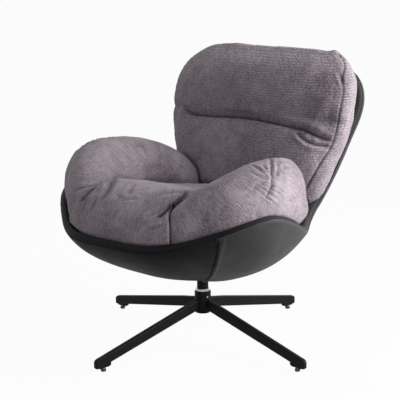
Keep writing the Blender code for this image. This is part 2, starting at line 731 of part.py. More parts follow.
def build():
    clear_scene()

    black_steel = material("black_powder_coat", (0.012, 0.012, 0.014), 0.45, 0.0)
    bright_steel = material("zinc_plated_steel", (0.62, 0.62, 0.64), 0.30, 1.0)
    grey_steel = material("steel", (0.36, 0.36, 0.38), 0.38, 1.0)
    nylon = material("black_nylon", (0.015, 0.015, 0.016), 0.50)
    bronze = material("sintered_bronze", (0.45, 0.30, 0.16), 0.45, 1.0)
    leather = material("dark_grey_leather", (0.022, 0.023, 0.026), 0.42)
    foam = material("moulded_shell", (0.20, 0.17, 0.12), 0.80)
    fabric = material("mauve_grey_chenille", (0.215, 0.178, 0.205), 0.95)

    base = empty("base_frame", (0, 0, 0))
    seat = empty("seat_swivel", (0, 0, HUB_TOP))

    # Collar of the base
    cut_screw = cylinder(SET_SCREW_R + GAP, 0.010, 0.035, 16)
    bmesh.ops.rotate(cut_screw, verts=cut_screw.verts, matrix=Matrix.Rotation(math.radians(90), 3, "Y"))
    bmesh.ops.transform(cut_screw, verts=cut_screw.verts, matrix=turn_to(SET_SCREW_ANGLE))
    screw_cutter = as_cutter(place("cutter_set_screw", cut_screw, None, (0, 0, SET_SCREW_Z)))
    hub_profile = [(HUB_BORE_R, HUB_BOTTOM), (HUB_R - 0.0012, HUB_BOTTOM), (HUB_R, HUB_BOTTOM + 0.0012)]
    for k in range(4):
        a = math.radians(90 * k / 3)
        hub_profile.append((
            HUB_R - HUB_ROUND + HUB_ROUND * math.cos(a),
            HUB_TOP - HUB_ROUND + HUB_ROUND * math.sin(a),
        ))
    hub_profile.append((HUB_BORE_R, HUB_TOP))
    hub = place("base_hub", turned(hub_profile, 36), black_steel, parent=base)
    boolean(hub, screw_cutter)

    cap = turned(
        [(0, HUB_BOTTOM), (HUB_BORE_R - GAP, HUB_BOTTOM), (HUB_BORE_R - GAP, HUB_BOTTOM + 0.003), (0, HUB_BOTTOM + 0.003)],
        24, closed=False,
    )
    place("hub_bottom_cap", cap, nylon, parent=base)

    screw = cylinder(SET_SCREW_R, 0.0192, HUB_R + 0.0004, 16)
    bmesh.ops.rotate(screw, verts=screw.verts, matrix=Matrix.Rotation(math.radians(90), 3, "Y"))
    bmesh.ops.transform(screw, verts=screw.verts, matrix=turn_to(SET_SCREW_ANGLE))
    set_screw = place("hub_set_screw", screw, bright_steel, (0, 0, SET_SCREW_Z), base)
    socket = cylinder(0.0011, HUB_R - 0.0012, HUB_R + 0.004, 6)
    bmesh.ops.rotate(socket, verts=socket.verts, matrix=Matrix.Rotation(math.radians(90), 3, "Y"))
    bmesh.ops.transform(socket, verts=socket.verts, matrix=turn_to(SET_SCREW_ANGLE))
    boolean(set_screw, as_cutter(place("cutter_socket", socket, None, (0, 0, SET_SCREW_Z))))

    bush_in = SPINDLE_R + GAP
    bush_out = HUB_BORE_R - GAP
    lower_bush = ring_profile(bush_in, bush_out, BUSH_LOWER_LOW, BUSH_LOWER_LOW + BUSH_LOWER_T)
    place("bush_lower", turned(lower_bush, 24), bronze, parent=base)
    upper_bush = ring_profile(bush_in, bush_out, BUSH_UPPER_TOP - BUSH_UPPER_T, BUSH_UPPER_TOP)
    place("bush_upper", turned(upper_bush, 24), bronze, parent=base)
    lower_race = ring_profile(bush_in, RACE_LOWER_R, HUB_TOP + GAP, HUB_TOP + GAP + RACE_T, RACE_EDGE)
    place("thrust_race_lower", turned(lower_race, 24), bright_steel, parent=base)
    cage = ring_profile(bush_in, CAGE_R, CAGE_LOW, CAGE_LOW + RACE_T, RACE_EDGE)
    place("thrust_cage", turned(cage, 24), bright_steel, parent=base)

    # Spokes, their end shoes and the glides
    hub_cutter = as_cutter(place("cutter_hub", cylinder(HUB_R + GAP, 0.05, 0.16, 36), None))
    root = 0.75 * HUB_R
    tip = SPOKE_TIP_R
    spoke_outline = [
        (root, spoke_low_edge(root)),
        (SHOE_END_R, SPOKE_LOW_TIP),
        (tip - TIP_CHAMFER, SPOKE_LOW_TIP),
        (tip, SPOKE_LOW_TIP + TIP_CHAMFER),
        (tip, SPOKE_TOP_TIP - TIP_ROUND),
        (tip - 0.3 * TIP_ROUND, SPOKE_TOP_TIP - 0.45 * TIP_ROUND),
        (tip - TIP_ROUND, SPOKE_TOP_TIP),
        (SPOKE_TOP_BEND_R, SPOKE_TOP_BEND_Z),
        (root, SPOKE_TOP_ROOT),
    ]
    spoke_mesh = None
    shoe_mesh = None
    heel = spoke_low_edge(SHOE_START_R) - GAP - SHOE_Z
    shoe_end = SHOE_END_R - SHOE_DEPTH
    shoe_outline = [
        (SHOE_START_R, SHOE_Z + heel),
        (SHOE_START_R + 0.08 * heel, SHOE_Z + 0.44 * heel),
        (SHOE_START_R + 0.38 * heel, SHOE_Z + 0.13 * heel),
        (SHOE_START_R + 0.90 * heel, SHOE_Z),
        (shoe_end, SHOE_Z),
        (shoe_end, spoke_low_edge(shoe_end) - GAP),
    ]
    for number, angle in enumerate(SPOKE_ANGLES, start=1):
        at = compass(angle) * GLIDE_R
        hole = cylinder(STUD_HOLE_R, 0.005, STUD_HOLE_TOP, 14)
        hole_cutter = as_cutter(place(f"cutter_stud_{number}", hole, None, (at.x, at.y, 0)))
        if spoke_mesh is None:
            spoke = place(f"spoke_{number}", extruded(spoke_outline, SPOKE_W, SPOKE_EDGE), black_steel, parent=base)
            shoe = place(f"end_shoe_{number}", extruded(shoe_outline, SPOKE_W - 0.001, 0.0), black_steel, parent=base)
            spoke_mesh = spoke.data
            shoe_mesh = shoe.data
        else:
            spoke = place_mesh(f"spoke_{number}", spoke_mesh, black_steel, parent=base)
            shoe = place_mesh(f"end_shoe_{number}", shoe_mesh, black_steel, parent=base)
        turn = math.radians(angle - 90.0)
        spoke.rotation_euler = (0, 0, turn)
        shoe.rotation_euler = (0, 0, turn)
        boolean(spoke, hub_cutter)
        boolean(spoke, hole_cutter)
        boolean(shoe, hole_cutter)
        glide = empty(f"glide_{number}_slide", (at.x, at.y, 0))
        stud = turned(
            [(0, PAD_H + GAP), (STUD_R, PAD_H + GAP), (STUD_R, STUD_TOP - 0.001), (STUD_R - 0.001, STUD_TOP), (0, STUD_TOP)],
            14, closed=False,
        )
        place(f"glide_stud_{number}", stud, bright_steel, (at.x, at.y, 0), glide)
        pad = turned(
            [
                (0, 0), (PAD_R - 0.0008, 0), (PAD_R, 0.0008), (PAD_R, PAD_H - 0.0022),
                (PAD_R - 0.0016, PAD_H), (0, PAD_H),
            ],
            18, closed=False,
        )
        place(f"glide_pad_{number}", pad, nylon, (at.x, at.y, 0), glide)

    # Swivel column, which turns with the seat
    upper_race = ring_profile(bush_in, RACE_UPPER_R, RACE_UPPER_LOW, RACE_UPPER_LOW + RACE_T, RACE_EDGE)
    place("thrust_race_upper", turned(upper_race, 24), bright_steel, parent=seat)
    groove_r = SPINDLE_R - RING_GROOVE_D
    groove_low = RING_LOW - GAP
    groove_top = RING_LOW + RING_T + GAP
    spindle = turned(
        [
            (0, SPINDLE_LOW), (SPINDLE_R - 0.001, SPINDLE_LOW), (SPINDLE_R, SPINDLE_LOW + 0.001),
            (SPINDLE_R, groove_low), (groove_r, groove_low), (groove_r, groove_top), (SPINDLE_R, groove_top),
            (SPINDLE_R, PLATE_Z + PLATE_T), (0, PLATE_Z + PLATE_T),
        ],
        24, closed=False,
    )
    place("swivel_spindle", spindle, grey_steel, parent=seat)
    ring = ring_profile(groove_r + 0.0003, RING_R, RING_LOW, RING_LOW + RING_T)
    place("retaining_ring", turned(ring, 24), grey_steel, parent=seat)
    washer = ring_profile(bush_in, WASHER_R, WASHER_LOW, WASHER_LOW + WASHER_T)
    place("thrust_washer", turned(washer, 24), nylon, parent=seat)
    sleeve = ring_profile(SLEEVE_BORE_R, SLEEVE_R, SLEEVE_LOW, PLATE_Z - GAP, 0.0006)
    place("column_sleeve", turned(sleeve, 32), black_steel, parent=seat)

    plate = bmesh.new()
    bmesh.ops.create_cube(plate, size=1.0)
    bmesh.ops.scale(plate, vec=(PLATE_SIDE, PLATE_SIDE, PLATE_T), verts=plate.verts)
    upright = [e for e in plate.edges if abs(e.verts[0].co.z - e.verts[1].co.z) > 0.5 * PLATE_T]
    bmesh.ops.bevel(plate, geom=upright, offset=0.018, segments=4, profile=0.5, affect="EDGES")
    plate_obj = place("seat_mount_plate", plate, black_steel, (0, 0, PLATE_Z + 0.5 * PLATE_T), seat)
    bore = cylinder(SPINDLE_R + GAP, PLATE_Z - 0.01, PLATE_Z + 0.02, 32)
    boolean(plate_obj, as_cutter(place("cutter_plate_bore", bore, None)))

    shell = Shell()
    seam = shell.t_of_angle(SEAM_ANGLE)
    front_ts = [-seam + 2 * seam * k / FRONT_RIBS for k in range(FRONT_RIBS + 1)]
    rear_ts = [seam + (1 - 2 * seam) * k / REAR_RIBS for k in range(REAR_RIBS + 1)]
    ts = front_ts[:-1] + rear_ts[:-1]

    core = place("shell_core", tube_mesh([core_loop(shell, t) for t in ts], True, len(RIB_STEPS) + len(RIM_STEPS)), foam, parent=seat)
    number = 0
    for sx in (-1, 1):
        for sy in (-1, 1):
            number += 1
            at = (sx * PLATE_BOLT, sy * PLATE_BOLT, 0)
            through = cylinder(BOLT_R + GAP, PLATE_Z - BOLT_LEN - 0.001, PLATE_Z + 0.02, 12)
            cutter = as_cutter(place(f"cutter_bolt_{number}", through, None, at))
            boolean(plate_obj, cutter)
            boolean(core, cutter)
            low = PLATE_Z - BOLT_LEN
            top = PLATE_Z + PLATE_T + 0.0002
            bolt = turned(
                [
                    (0, low), (BOLT_R, low), (BOLT_R, top), (BOLT_HEAD_R, top),
                    (BOLT_HEAD_R, top + BOLT_HEAD_H - 0.0012), (BOLT_HEAD_R - 0.0016, top + BOLT_HEAD_H),
                    (0, top + BOLT_HEAD_H),
                ],
                12, closed=False,
            )
            place(f"mount_bolt_{number}", bolt, bright_steel, at, seat)

    # Leather: a front panel and a rear panel outside, a liner inside, and the welts between the panels
    for name, panel_ts in (("outer_panel_front", front_ts), ("outer_panel_rear", rear_ts)):
        loops = [outer_loop(shell, t) for t in panel_ts]
        loops[0] = seam_edge(loops[0], loops[1])
        loops[-1] = seam_edge(loops[-1], loops[-2])
        place(name, tube_mesh(loops, False, len(loops[0]) // 2), leather, parent=seat)
    place("welt_left", welt_mesh(shell, seam), leather, parent=seat)
    place("welt_right", welt_mesh(shell, -seam), leather, parent=seat)
    loops = [liner_loop(shell, t) for t in ts]
    place("inner_liner", tube_mesh(loops, True, len(loops[0]) // 2), leather, parent=seat)

    # Cushions
    shell_cutter = as_cutter(place("cutter_shell", block_mesh(shell, ts, GAP), None))
    side_names = ((1, "left"), (-1, "right"))
    arm_cutters = []
    for side, name in side_names:
        arm = place(f"arm_cushion_{name}", arm_form(side, 0.0), fabric, parent=seat)
        boolean(arm, as_cutter(place(f"cutter_seam_{name}", seam_block(side, (0, 1), (-0.5, 0.5)), None)))
        boolean(arm, shell_cutter)
        grown = place(f"cutter_arm_{name}", arm_form(side, GAP), None)
        boolean(grown, as_cutter(place(f"cutter_seam_grown_{name}", seam_block(side, (GAP, 1), (-0.5, 0.5)), None)))
        arm_cutters.append(as_cutter(grown))

    seat_cushion = place("seat_cushion", seat_form(0.0), fabric, parent=seat)
    boolean(seat_cushion, shell_cutter)
    pocket = as_cutter(place("cutter_pocket", cylinder(SEAT_POCKET_R, 0.18, SEAT_POCKET_TOP, 32), None))
    boolean(seat_cushion, pocket)
    for side, name in side_names:
        corner = seam_block(side, (-SEAT_CORNER_CUT, GAP), (-0.01, 0.3))
        boolean(seat_cushion, as_cutter(place(f"cutter_corner_{name}", corner, None)))
    back_cushion = place("back_cushion", back_form(0.0), fabric, parent=seat)
    boolean(back_cushion, shell_cutter)
    for cutter in arm_cutters:
        boolean(seat_cushion, cutter)
        boolean(back_cushion, cutter)
    boolean(back_cushion, as_cutter(place("cutter_seat", seat_form(GAP), None)))


build()
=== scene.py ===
"""Looks of a swivel lounge chair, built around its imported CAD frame."""
import json
import math

import bmesh
import bpy
import numpy as np
from mathutils import Matrix, Vector, noise
from mathutils.bvhtree import BVHTree

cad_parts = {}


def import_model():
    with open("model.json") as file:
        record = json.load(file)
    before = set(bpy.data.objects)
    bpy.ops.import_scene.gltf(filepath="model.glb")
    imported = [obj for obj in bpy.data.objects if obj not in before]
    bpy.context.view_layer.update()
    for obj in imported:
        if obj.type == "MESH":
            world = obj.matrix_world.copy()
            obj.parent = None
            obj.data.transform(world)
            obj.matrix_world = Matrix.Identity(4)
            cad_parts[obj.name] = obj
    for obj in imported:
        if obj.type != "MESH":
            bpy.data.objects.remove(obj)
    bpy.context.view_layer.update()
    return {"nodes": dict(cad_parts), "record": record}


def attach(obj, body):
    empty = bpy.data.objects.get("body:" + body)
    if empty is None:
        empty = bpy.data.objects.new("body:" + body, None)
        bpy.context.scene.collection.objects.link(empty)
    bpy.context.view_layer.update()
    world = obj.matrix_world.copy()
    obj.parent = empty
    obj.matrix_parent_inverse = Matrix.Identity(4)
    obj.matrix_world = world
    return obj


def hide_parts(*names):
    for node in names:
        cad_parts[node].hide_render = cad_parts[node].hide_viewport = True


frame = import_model()
scene = bpy.context.scene

# Camera, at the photograph's viewpoint

TURN = math.radians(38)
DIP = math.radians(13)
EYE_RIGHT = 0.0854
EYE_AWAY = 3.002
EYE_HEIGHT = 1.1115
FOCAL = 1066.8           # in image pixels
CENTRE = (231.7, 200.0)
IMAGE = 400
SENSOR = 36
UP = Vector((0, 0, 1))
RIGHT = Vector((math.cos(TURN), math.sin(TURN), 0))
AHEAD = Vector((-math.sin(TURN), math.cos(TURN), 0))
EYE = EYE_RIGHT * RIGHT - EYE_AWAY * AHEAD + EYE_HEIGHT * UP
LOOK = (AHEAD * math.cos(DIP) - UP * math.sin(DIP)).normalized()
SKY = RIGHT.cross(LOOK)


def make_camera():
    data = bpy.data.cameras.new("camera")
    camera = bpy.data.objects.new("camera", data)
    scene.collection.objects.link(camera)
    rows = [(RIGHT[k], SKY[k], -LOOK[k], EYE[k]) for k in range(3)]
    camera.matrix_world = Matrix(rows + [(0, 0, 0, 1)])
    data.sensor_width = SENSOR
    data.lens = FOCAL * SENSOR / IMAGE
    data.shift_x = -(CENTRE[0] - IMAGE / 2) / IMAGE
    scene.camera = camera


def pixel_ray(x, y):
    across = RIGHT * ((x - CENTRE[0]) / FOCAL)
    down = SKY * ((y - CENTRE[1]) / FOCAL)
    return (LOOK + across - down).normalized()


make_camera()


# Materials

def node_material(name):
    mat = bpy.data.materials.new(name)
    mat.use_nodes = True
    return mat, mat.node_tree, mat.node_tree.nodes["Principled BSDF"]


def plug(tree, socket, value):
    """Links another node's output to the socket, or sets the socket to a plain value."""
    if isinstance(value, bpy.types.NodeSocket):
        tree.links.new(value, socket)
    else:
        socket.default_value = value


def add(tree, kind, **values):
    """Adds a node; each value goes to the input of that name, or else to the node's property."""
    node = tree.nodes.new(kind)
    for key, value in values.items():
        if key in node.inputs:
            plug(tree, node.inputs[key], value)
        else:
            setattr(node, key, value)
    return node


def feed(tree, shader, **values):
    """Sets or links the shader's inputs, whose names are written with underscores for spaces."""
    for key, value in values.items():
        plug(tree, shader.inputs[key.replace("_", " ")], value)


def maths(tree, operation, *values):
    node = tree.nodes.new("ShaderNodeMath")
    node.operation = operation
    for socket, value in zip(node.inputs, values):
        plug(tree, socket, value)
    return node.outputs[0]


def scaled(tree, value, gain, more=0.0):
    return maths(tree, "MULTIPLY_ADD", value, gain, more)


def ramp(tree, source, *stops):
    node = tree.nodes.new("ShaderNodeValToRGB")
    elements = node.color_ramp.elements
    while len(elements) < len(stops):
        elements.new(0.5)
    for element, (place, colour) in zip(elements, stops):
        element.position = place
        element.color = (*colour, 1.0)
    tree.links.new(source, node.inputs[0])
    return node.outputs[0]


def between(tree, source, low, high):
    """Colour that goes from low to high over the middle of a noise's range."""
    return ramp(tree, source, (0.3, low), (0.7, high))


def mixed(tree, factor, *colours):
    node = tree.nodes.new("ShaderNodeMix")
    node.data_type = "RGBA"
    for place, value in zip((0, 6, 7), (factor, *colours)):
        plug(tree, node.inputs[place], value)
    return node.outputs[2]


def grey(value):
    return (value, value, value)


def noise_at(tree, vector, scale, detail=3.0, rough=0.55):
    node = add(tree, "ShaderNodeTexNoise", Vector=vector, Scale=scale, Detail=detail, Roughness=rough)
    return node.outputs["Fac"]


def bump(tree, height, distance, strength, **below):
    node = add(tree, "ShaderNodeBump", Height=height, Strength=strength, Distance=distance, **below)
    return node.outputs[0]


def stretched(tree, vector, scale):
    return add(tree, "ShaderNodeMapping", Vector=vector, Scale=scale).outputs[0]


def stored(tree, name, output="Fac"):
    return add(tree, "ShaderNodeAttribute", attribute_name=name).outputs[output]


def object_coords(tree):
    return tree.nodes.new("ShaderNodeTexCoord").outputs["Object"]


CORD_PITCH = 0.0078
# Colour of the painted shade in creases, seams and slits
CREASE_SHADE_COLOUR = (0.022, 0.017, 0.020, 1.0)


def chenille(name):
    """Brushed chenille: rows of short tufts, clear where the third weave value is high, under a pile,
    with painted shade in its creases and seams and patches of painted light and shade on the pile.
    """
    mat, tree, shader = node_material(name)
    weave = stored(tree, "weave", "Vector")
    coords = object_coords(tree)
    split = tree.nodes.new("ShaderNodeSeparateXYZ")
    tree.links.new(weave, split.inputs[0])
    wobble = scaled(tree, noise_at(tree, coords, 34.0, 2.0), 3.2)
    phase = scaled(tree, split.outputs[0], 2 * math.pi / CORD_PITCH, wobble)
    cord = scaled(tree, maths(tree, "SINE", phase), 0.5, 0.5)
    tufts = noise_at(tree, stretched(tree, weave, (1.0, 0.42, 0.0)), 250.0, 3.0, 0.65)
    tufts = scaled(tree, tufts, 3.4, -1.20)
    pile = scaled(tree, noise_at(tree, coords, 210.0, 4.0, 0.72), 3.0, -1.00)
    patch = noise_at(tree, coords, 6.5, 3.0, 0.5)
    brushed = noise_at(tree, coords, 30.0, 4.0, 0.65)
    where = maths(tree, "MULTIPLY", scaled(tree, patch, 2.0, -0.45), split.outputs[2])
    ribs = maths(tree, "MULTIPLY", where, scaled(tree, tufts, 0.9, 0.4))
    ribs = maths(tree, "MULTIPLY", cord, ribs)
    grain = scaled(tree, tufts, 0.5, scaled(tree, pile, 0.5))
    tone = scaled(tree, ribs, 0.34, scaled(tree, grain, 0.36, 0.03))
    tone = maths(tree, "ADD", tone, scaled(tree, brushed, 0.40, -0.15))
    tone = maths(tree, "ADD", tone, scaled(tree, patch, 0.28, -0.12))
    # Patches painted lighter and darker on the pile: painted sheen, light and shade
    tone = scaled(tree, stored(tree, "nap_light_and_shade"), 0.5, tone)
    colour = ramp(
        tree, tone,
        (0.08, (0.105, 0.085, 0.098)),
        (0.38, (0.285, 0.241, 0.268)),
        (0.74, (0.480, 0.426, 0.458)),
        (1.00, (0.600, 0.545, 0.575)),
    )
    # The base colour darkens to painted shade in creases, seams and slits
    feed(
        tree, shader,
        Base_Color=mixed(tree, stored(tree, "painted_shade"), colour, CREASE_SHADE_COLOUR),
        Normal=bump(tree, scaled(tree, ribs, 0.7, grain), 0.0015, 0.85),
        Roughness=0.92, Specular_IOR_Level=0.12,
        Sheen_Weight=0.30, Sheen_Roughness=0.45, Sheen_Tint=(0.97, 0.90, 0.95, 1.0),
    )
    return mat


# The panels' own leather colour, which the rim band also takes as painted light
PALE_LEATHER = ((0.034, 0.033, 0.034), (0.056, 0.055, 0.056))


def leather(name, dark, light, gloss):
    """Grained leather, whose colour eases to the panel's as painted light where the piece says so."""
    mat, tree, shader = node_material(name)
    coords = object_coords(tree)
    cells = add(tree, "ShaderNodeTexVoronoi", Vector=coords, Scale=620.0).outputs["Distance"]
    fine = noise_at(tree, coords, 900.0, 2.0)
    broad = noise_at(tree, coords, 9.0, 4.0, 0.6)
    soft = noise_at(tree, coords, 26.0, 3.0, 0.5)
    height = scaled(tree, cells, 0.6, scaled(tree, fine, 0.3))
    tone = scaled(tree, broad, 0.7, scaled(tree, fine, 0.3))
    own, painted_light = [ramp(tree, tone, (0.30, a), (0.72, b)) for a, b in ((dark, light), PALE_LEATHER)]
    gleam = scaled(tree, soft, 0.6, scaled(tree, fine, 0.4))
    feed(
        tree, shader,
        Base_Color=mixed(tree, stored(tree, "painted_light"), own, painted_light),
        Normal=bump(tree, height, 0.0004, 0.5, Normal=bump(tree, soft, 0.004, 0.30)),
        Roughness=ramp(tree, gleam, (0.25, grey(0.46)), (0.75, grey(0.62))),
        Specular_IOR_Level=gloss,
    )
    return mat


def powder_coat(name, base, rough):
    """Black paint with a fine orange-peel surface."""
    mat, tree, shader = node_material(name)
    coords = object_coords(tree)
    peel = noise_at(tree, coords, 700.0, 2.0)
    broad = noise_at(tree, coords, 30.0, 3.0)
    feed(
        tree, shader,
        Base_Color=between(tree, broad, grey(base * 0.85), grey(base * 1.15)),
        Normal=bump(tree, peel, 0.0003, 0.35),
        Roughness=between(tree, peel, grey(rough - 0.05), grey(rough + 0.06)),
        Specular_IOR_Level=0.07,
    )
    return mat


def bare_metal(name, colour, rough):
    """Plated or turned metal with fine lines round its upright axis."""
    mat, tree, shader = node_material(name)
    lines = noise_at(tree, stretched(tree, object_coords(tree), (1.0, 1.0, 9.0)), 500.0, 3.0)
    feed(
        tree, shader,
        Base_Color=between(tree, lines, tuple(c * 0.88 for c in colour), colour),
        Normal=bump(tree, lines, 0.0002, 0.2),
        Roughness=between(tree, lines, grey(rough - 0.06), grey(rough + 0.08)),
        Metallic=1.0,
    )
    return mat


def moulded(name, base, rough):
    """Plastic, or another dull material with a fine grain."""
    mat, tree, shader = node_material(name)
    fine = noise_at(tree, object_coords(tree), 1100.0, 2.0)
    feed(
        tree, shader,
        Base_Color=between(tree, fine, tuple(c * 0.8 for c in base), base),
        Normal=bump(tree, fine, 0.0002, 0.4),
        Roughness=between(tree, fine, grey(rough - 0.05), grey(rough + 0.07)),
    )
    return mat


FABRIC = chenille("fabric_chenille")
THREAD = moulded("seam_thread", (0.060, 0.048, 0.056), 0.9)
PANEL = leather("leather_panel", *PALE_LEATHER, 0.10)
# The front panel's leather, painted darker than the rear panel's for the shade it lies in, and less
# glossy
SHADED_FRONT = leather("leather_front_painted_shade", (0.011, 0.0105, 0.011), (0.019, 0.018, 0.019), 0.035)
# The rim band's leather, painted darker than the panels' for the shade under the cushions
SHADED_BAND = leather("leather_band_painted_shade", (0.005, 0.0046, 0.006), (0.011, 0.010, 0.013), 0.06)
BLACK = powder_coat("powder_coat_black", 0.006, 0.46)
ZINC = bare_metal("zinc_plate", (0.72, 0.72, 0.74), 0.28)
STEEL = bare_metal("turned_steel", (0.45, 0.45, 0.47), 0.36)
NYLON = moulded("nylon_black", (0.018, 0.018, 0.020), 0.5)
BRONZE = bare_metal("sintered_bronze", (0.45, 0.30, 0.16), 0.48)
CORE = moulded("shell_dark", (0.020, 0.019, 0.018), 0.8)

SLOT_MATERIALS = {
    "black_powder_coat": BLACK,
    "zinc_plated_steel": ZINC,
    "steel": STEEL,
    "black_nylon": NYLON,
    "sintered_bronze": BRONZE,
    "dark_grey_leather": PANEL,
    "moulded_shell": CORE,
    "mauve_grey_chenille": FABRIC,
}
slot_of = {row["node"]: row["material_slot"] for row in frame["record"]["subparts"]}
for node_name, obj in frame["nodes"].items():
    obj.data.materials.clear()
    obj.data.materials.append(SLOT_MATERIALS[slot_of[node_name]])


# Mesh helpers

def new_object(name, bm):
    bmesh.ops.recalc_face_normals(bm, faces=bm.faces)
    mesh = bpy.data.meshes.new(name)
    bm.to_mesh(mesh)
    bm.free()
    obj = bpy.data.objects.new(name, mesh)
    scene.collection.objects.link(obj)
    return obj


def modify(obj, kind, **settings):
    modifier = obj.modifiers.new(kind, kind)
    for key, value in settings.items():
        setattr(modifier, key, value)


def apply_modifiers(obj):
    graph = bpy.context.evaluated_depsgraph_get()
    graph.update()
    mesh = bpy.data.meshes.new_from_object(obj.evaluated_get(graph))
    old = obj.data
    obj.modifiers.clear()
    obj.data = mesh
    bpy.data.meshes.remove(old)


def drop(*objects):
    for obj in objects:
        bpy.data.objects.remove(obj, do_unlink=True)


def cut(obj, cutter):
    modify(obj, "BOOLEAN", operation="DIFFERENCE", solver="EXACT", object=cutter)
    apply_modifiers(obj)


def read(mesh, field="co"):
    values = np.empty(len(mesh.vertices) * 3)
    mesh.vertices.foreach_get(field, values)
    return values.reshape(-1, 3)


def set_coords(obj, co):
    obj.data.vertices.foreach_set("co", np.asarray(co, float).ravel())
    obj.data.update()


def store(obj, name, values):
    """Keeps a number or a vector for each vertex, for the material to read."""
    kind, field = ("FLOAT_VECTOR", "vector") if values.ndim == 2 else ("FLOAT", "value")
    attribute = obj.data.attributes.new(name, kind, "POINT")
    attribute.data.foreach_set(field, values.astype(np.float32).ravel())


def tree_of(obj):
    mesh = obj.data
    return BVHTree.FromPolygons([v.co for v in mesh.vertices], [p.vertices for p in mesh.polygons])


def finish_piece(obj, material, body="seat"):
    obj.data.materials.clear()
    obj.data.materials.append(material)
    for polygon in obj.data.polygons:
        polygon.use_smooth = True
    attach(obj, body)


def smooth_step(x):
    x = np.clip(x, 0.0, 1.0)
    return x * x * (3 - 2 * x)


def bell(x, width):
    return np.exp(-(x / width) ** 2)


def crossing(low, high, before):
    """Value between low and high at which the test stops being true."""
    for _ in range(40):
        mid = 0.5 * (low + high)
        if before(mid):
            low = mid
        else:
            high = mid
    return high


# Shell surface, from the CAD's stations, with the rim further out at the waist and the rear side

HOLE_GAP = 0.0004
SHELL_T = 0.027
SKIN_T = 0.0020
SHELL_LOW = 0.183
CONE_RISE = 0.033
CONE_TILT = 0.006
COLUMN_HOLE_R = 0.0173
LINER_START = 0.235
SEAM_ANGLE = 42.0
BLOCK_T = 0.090          # how far the cushions' cutter reaches outwards from the shell

STATIONS = (
    ((0.000, -0.413, 0.378), 0, 0.20, (0.00, -0.30, 0.95), 0.085),
    ((0.145, -0.392, 0.378), 18, 0.20, (0.08, -0.31, 0.95), 0.085),
    ((0.258, -0.315, 0.403), 36, 0.21, (0.17, -0.25, 0.95), 0.095),
    ((0.340, -0.235, 0.437), 52, 0.23, (0.22, -0.14, 0.96), 0.130),
    ((0.379, -0.160, 0.452), 66, 0.23, (0.26, -0.02, 0.96), 0.155),
    ((0.380, -0.090, 0.431), 78, 0.22, (0.33, 0.06, 0.94), 0.145),
    ((0.355, 0.000, 0.392), 90, 0.21, (0.43, 0.15, 0.89), 0.125),
    ((0.318, 0.080, 0.360), 102, 0.20, (0.53, 0.24, 0.80), 0.105),
    ((0.284, 0.141, 0.349), 113, 0.19, (0.66, 0.26, 0.71), 0.090),
    ((0.263, 0.195, 0.372), 122, 0.19, (0.80, 0.00, 0.58), 0.085),
    ((0.268, 0.253, 0.430), 130, 0.19, (0.90, -0.22, 0.36), 0.095),
    ((0.282, 0.308, 0.512), 138, 0.20, (0.93, -0.26, 0.22), 0.110),
    ((0.296, 0.365, 0.611), 146, 0.22, (0.95, -0.14, 0.22), 0.125),
    ((0.300, 0.400, 0.695), 154, 0.24, (0.92, -0.02, 0.36), 0.150),
    ((0.259, 0.417, 0.762), 162, 0.25, (0.60, 0.14, 0.79), 0.220),
    ((0.140, 0.419, 0.787), 171, 0.25, (0.20, 0.20, 0.96), 0.320),
    ((0.000, 0.419, 0.792), 180, 0.25, (0.00, 0.22, 0.975), 0.370),
)


def compass(angle):
    a = math.radians(angle)
    return Vector((math.sin(a), -math.cos(a), 0))


def periodic_spline(knots, values):
    """Periodic cubic spline through the values; returns a function of the parameter."""
    x = np.asarray(knots, float)
    y = np.asarray(values, float)
    n = len(x) - 1
    h = np.diff(x)
    matrix = np.diag(2 * (h + np.roll(h, 1))) + np.diag(h[:-1], 1) + np.diag(h[:-1], -1)
    matrix[0, -1] = matrix[-1, 0] = h[-1]
    rise = np.diff(y, axis=0) / h[:, None]
    bend = np.linalg.solve(matrix, 6 * (rise - np.roll(rise, 1, axis=0)))
    bend = np.vstack([bend, bend[:1]])

    def value(t):
        t = t % 1.0
        i = min(int(np.searchsorted(x, t, side="right")) - 1, n - 1)
        a = x[i + 1] - t
        b = t - x[i]
        return (
            bend[i] * a ** 3 / (6 * h[i])
            + bend[i + 1] * b ** 3 / (6 * h[i])
            + (y[i] / h[i] - bend[i] * h[i] / 6) * a
            + (y[i + 1] / h[i] - bend[i + 1] * h[i] / 6) * b
        )

    return value


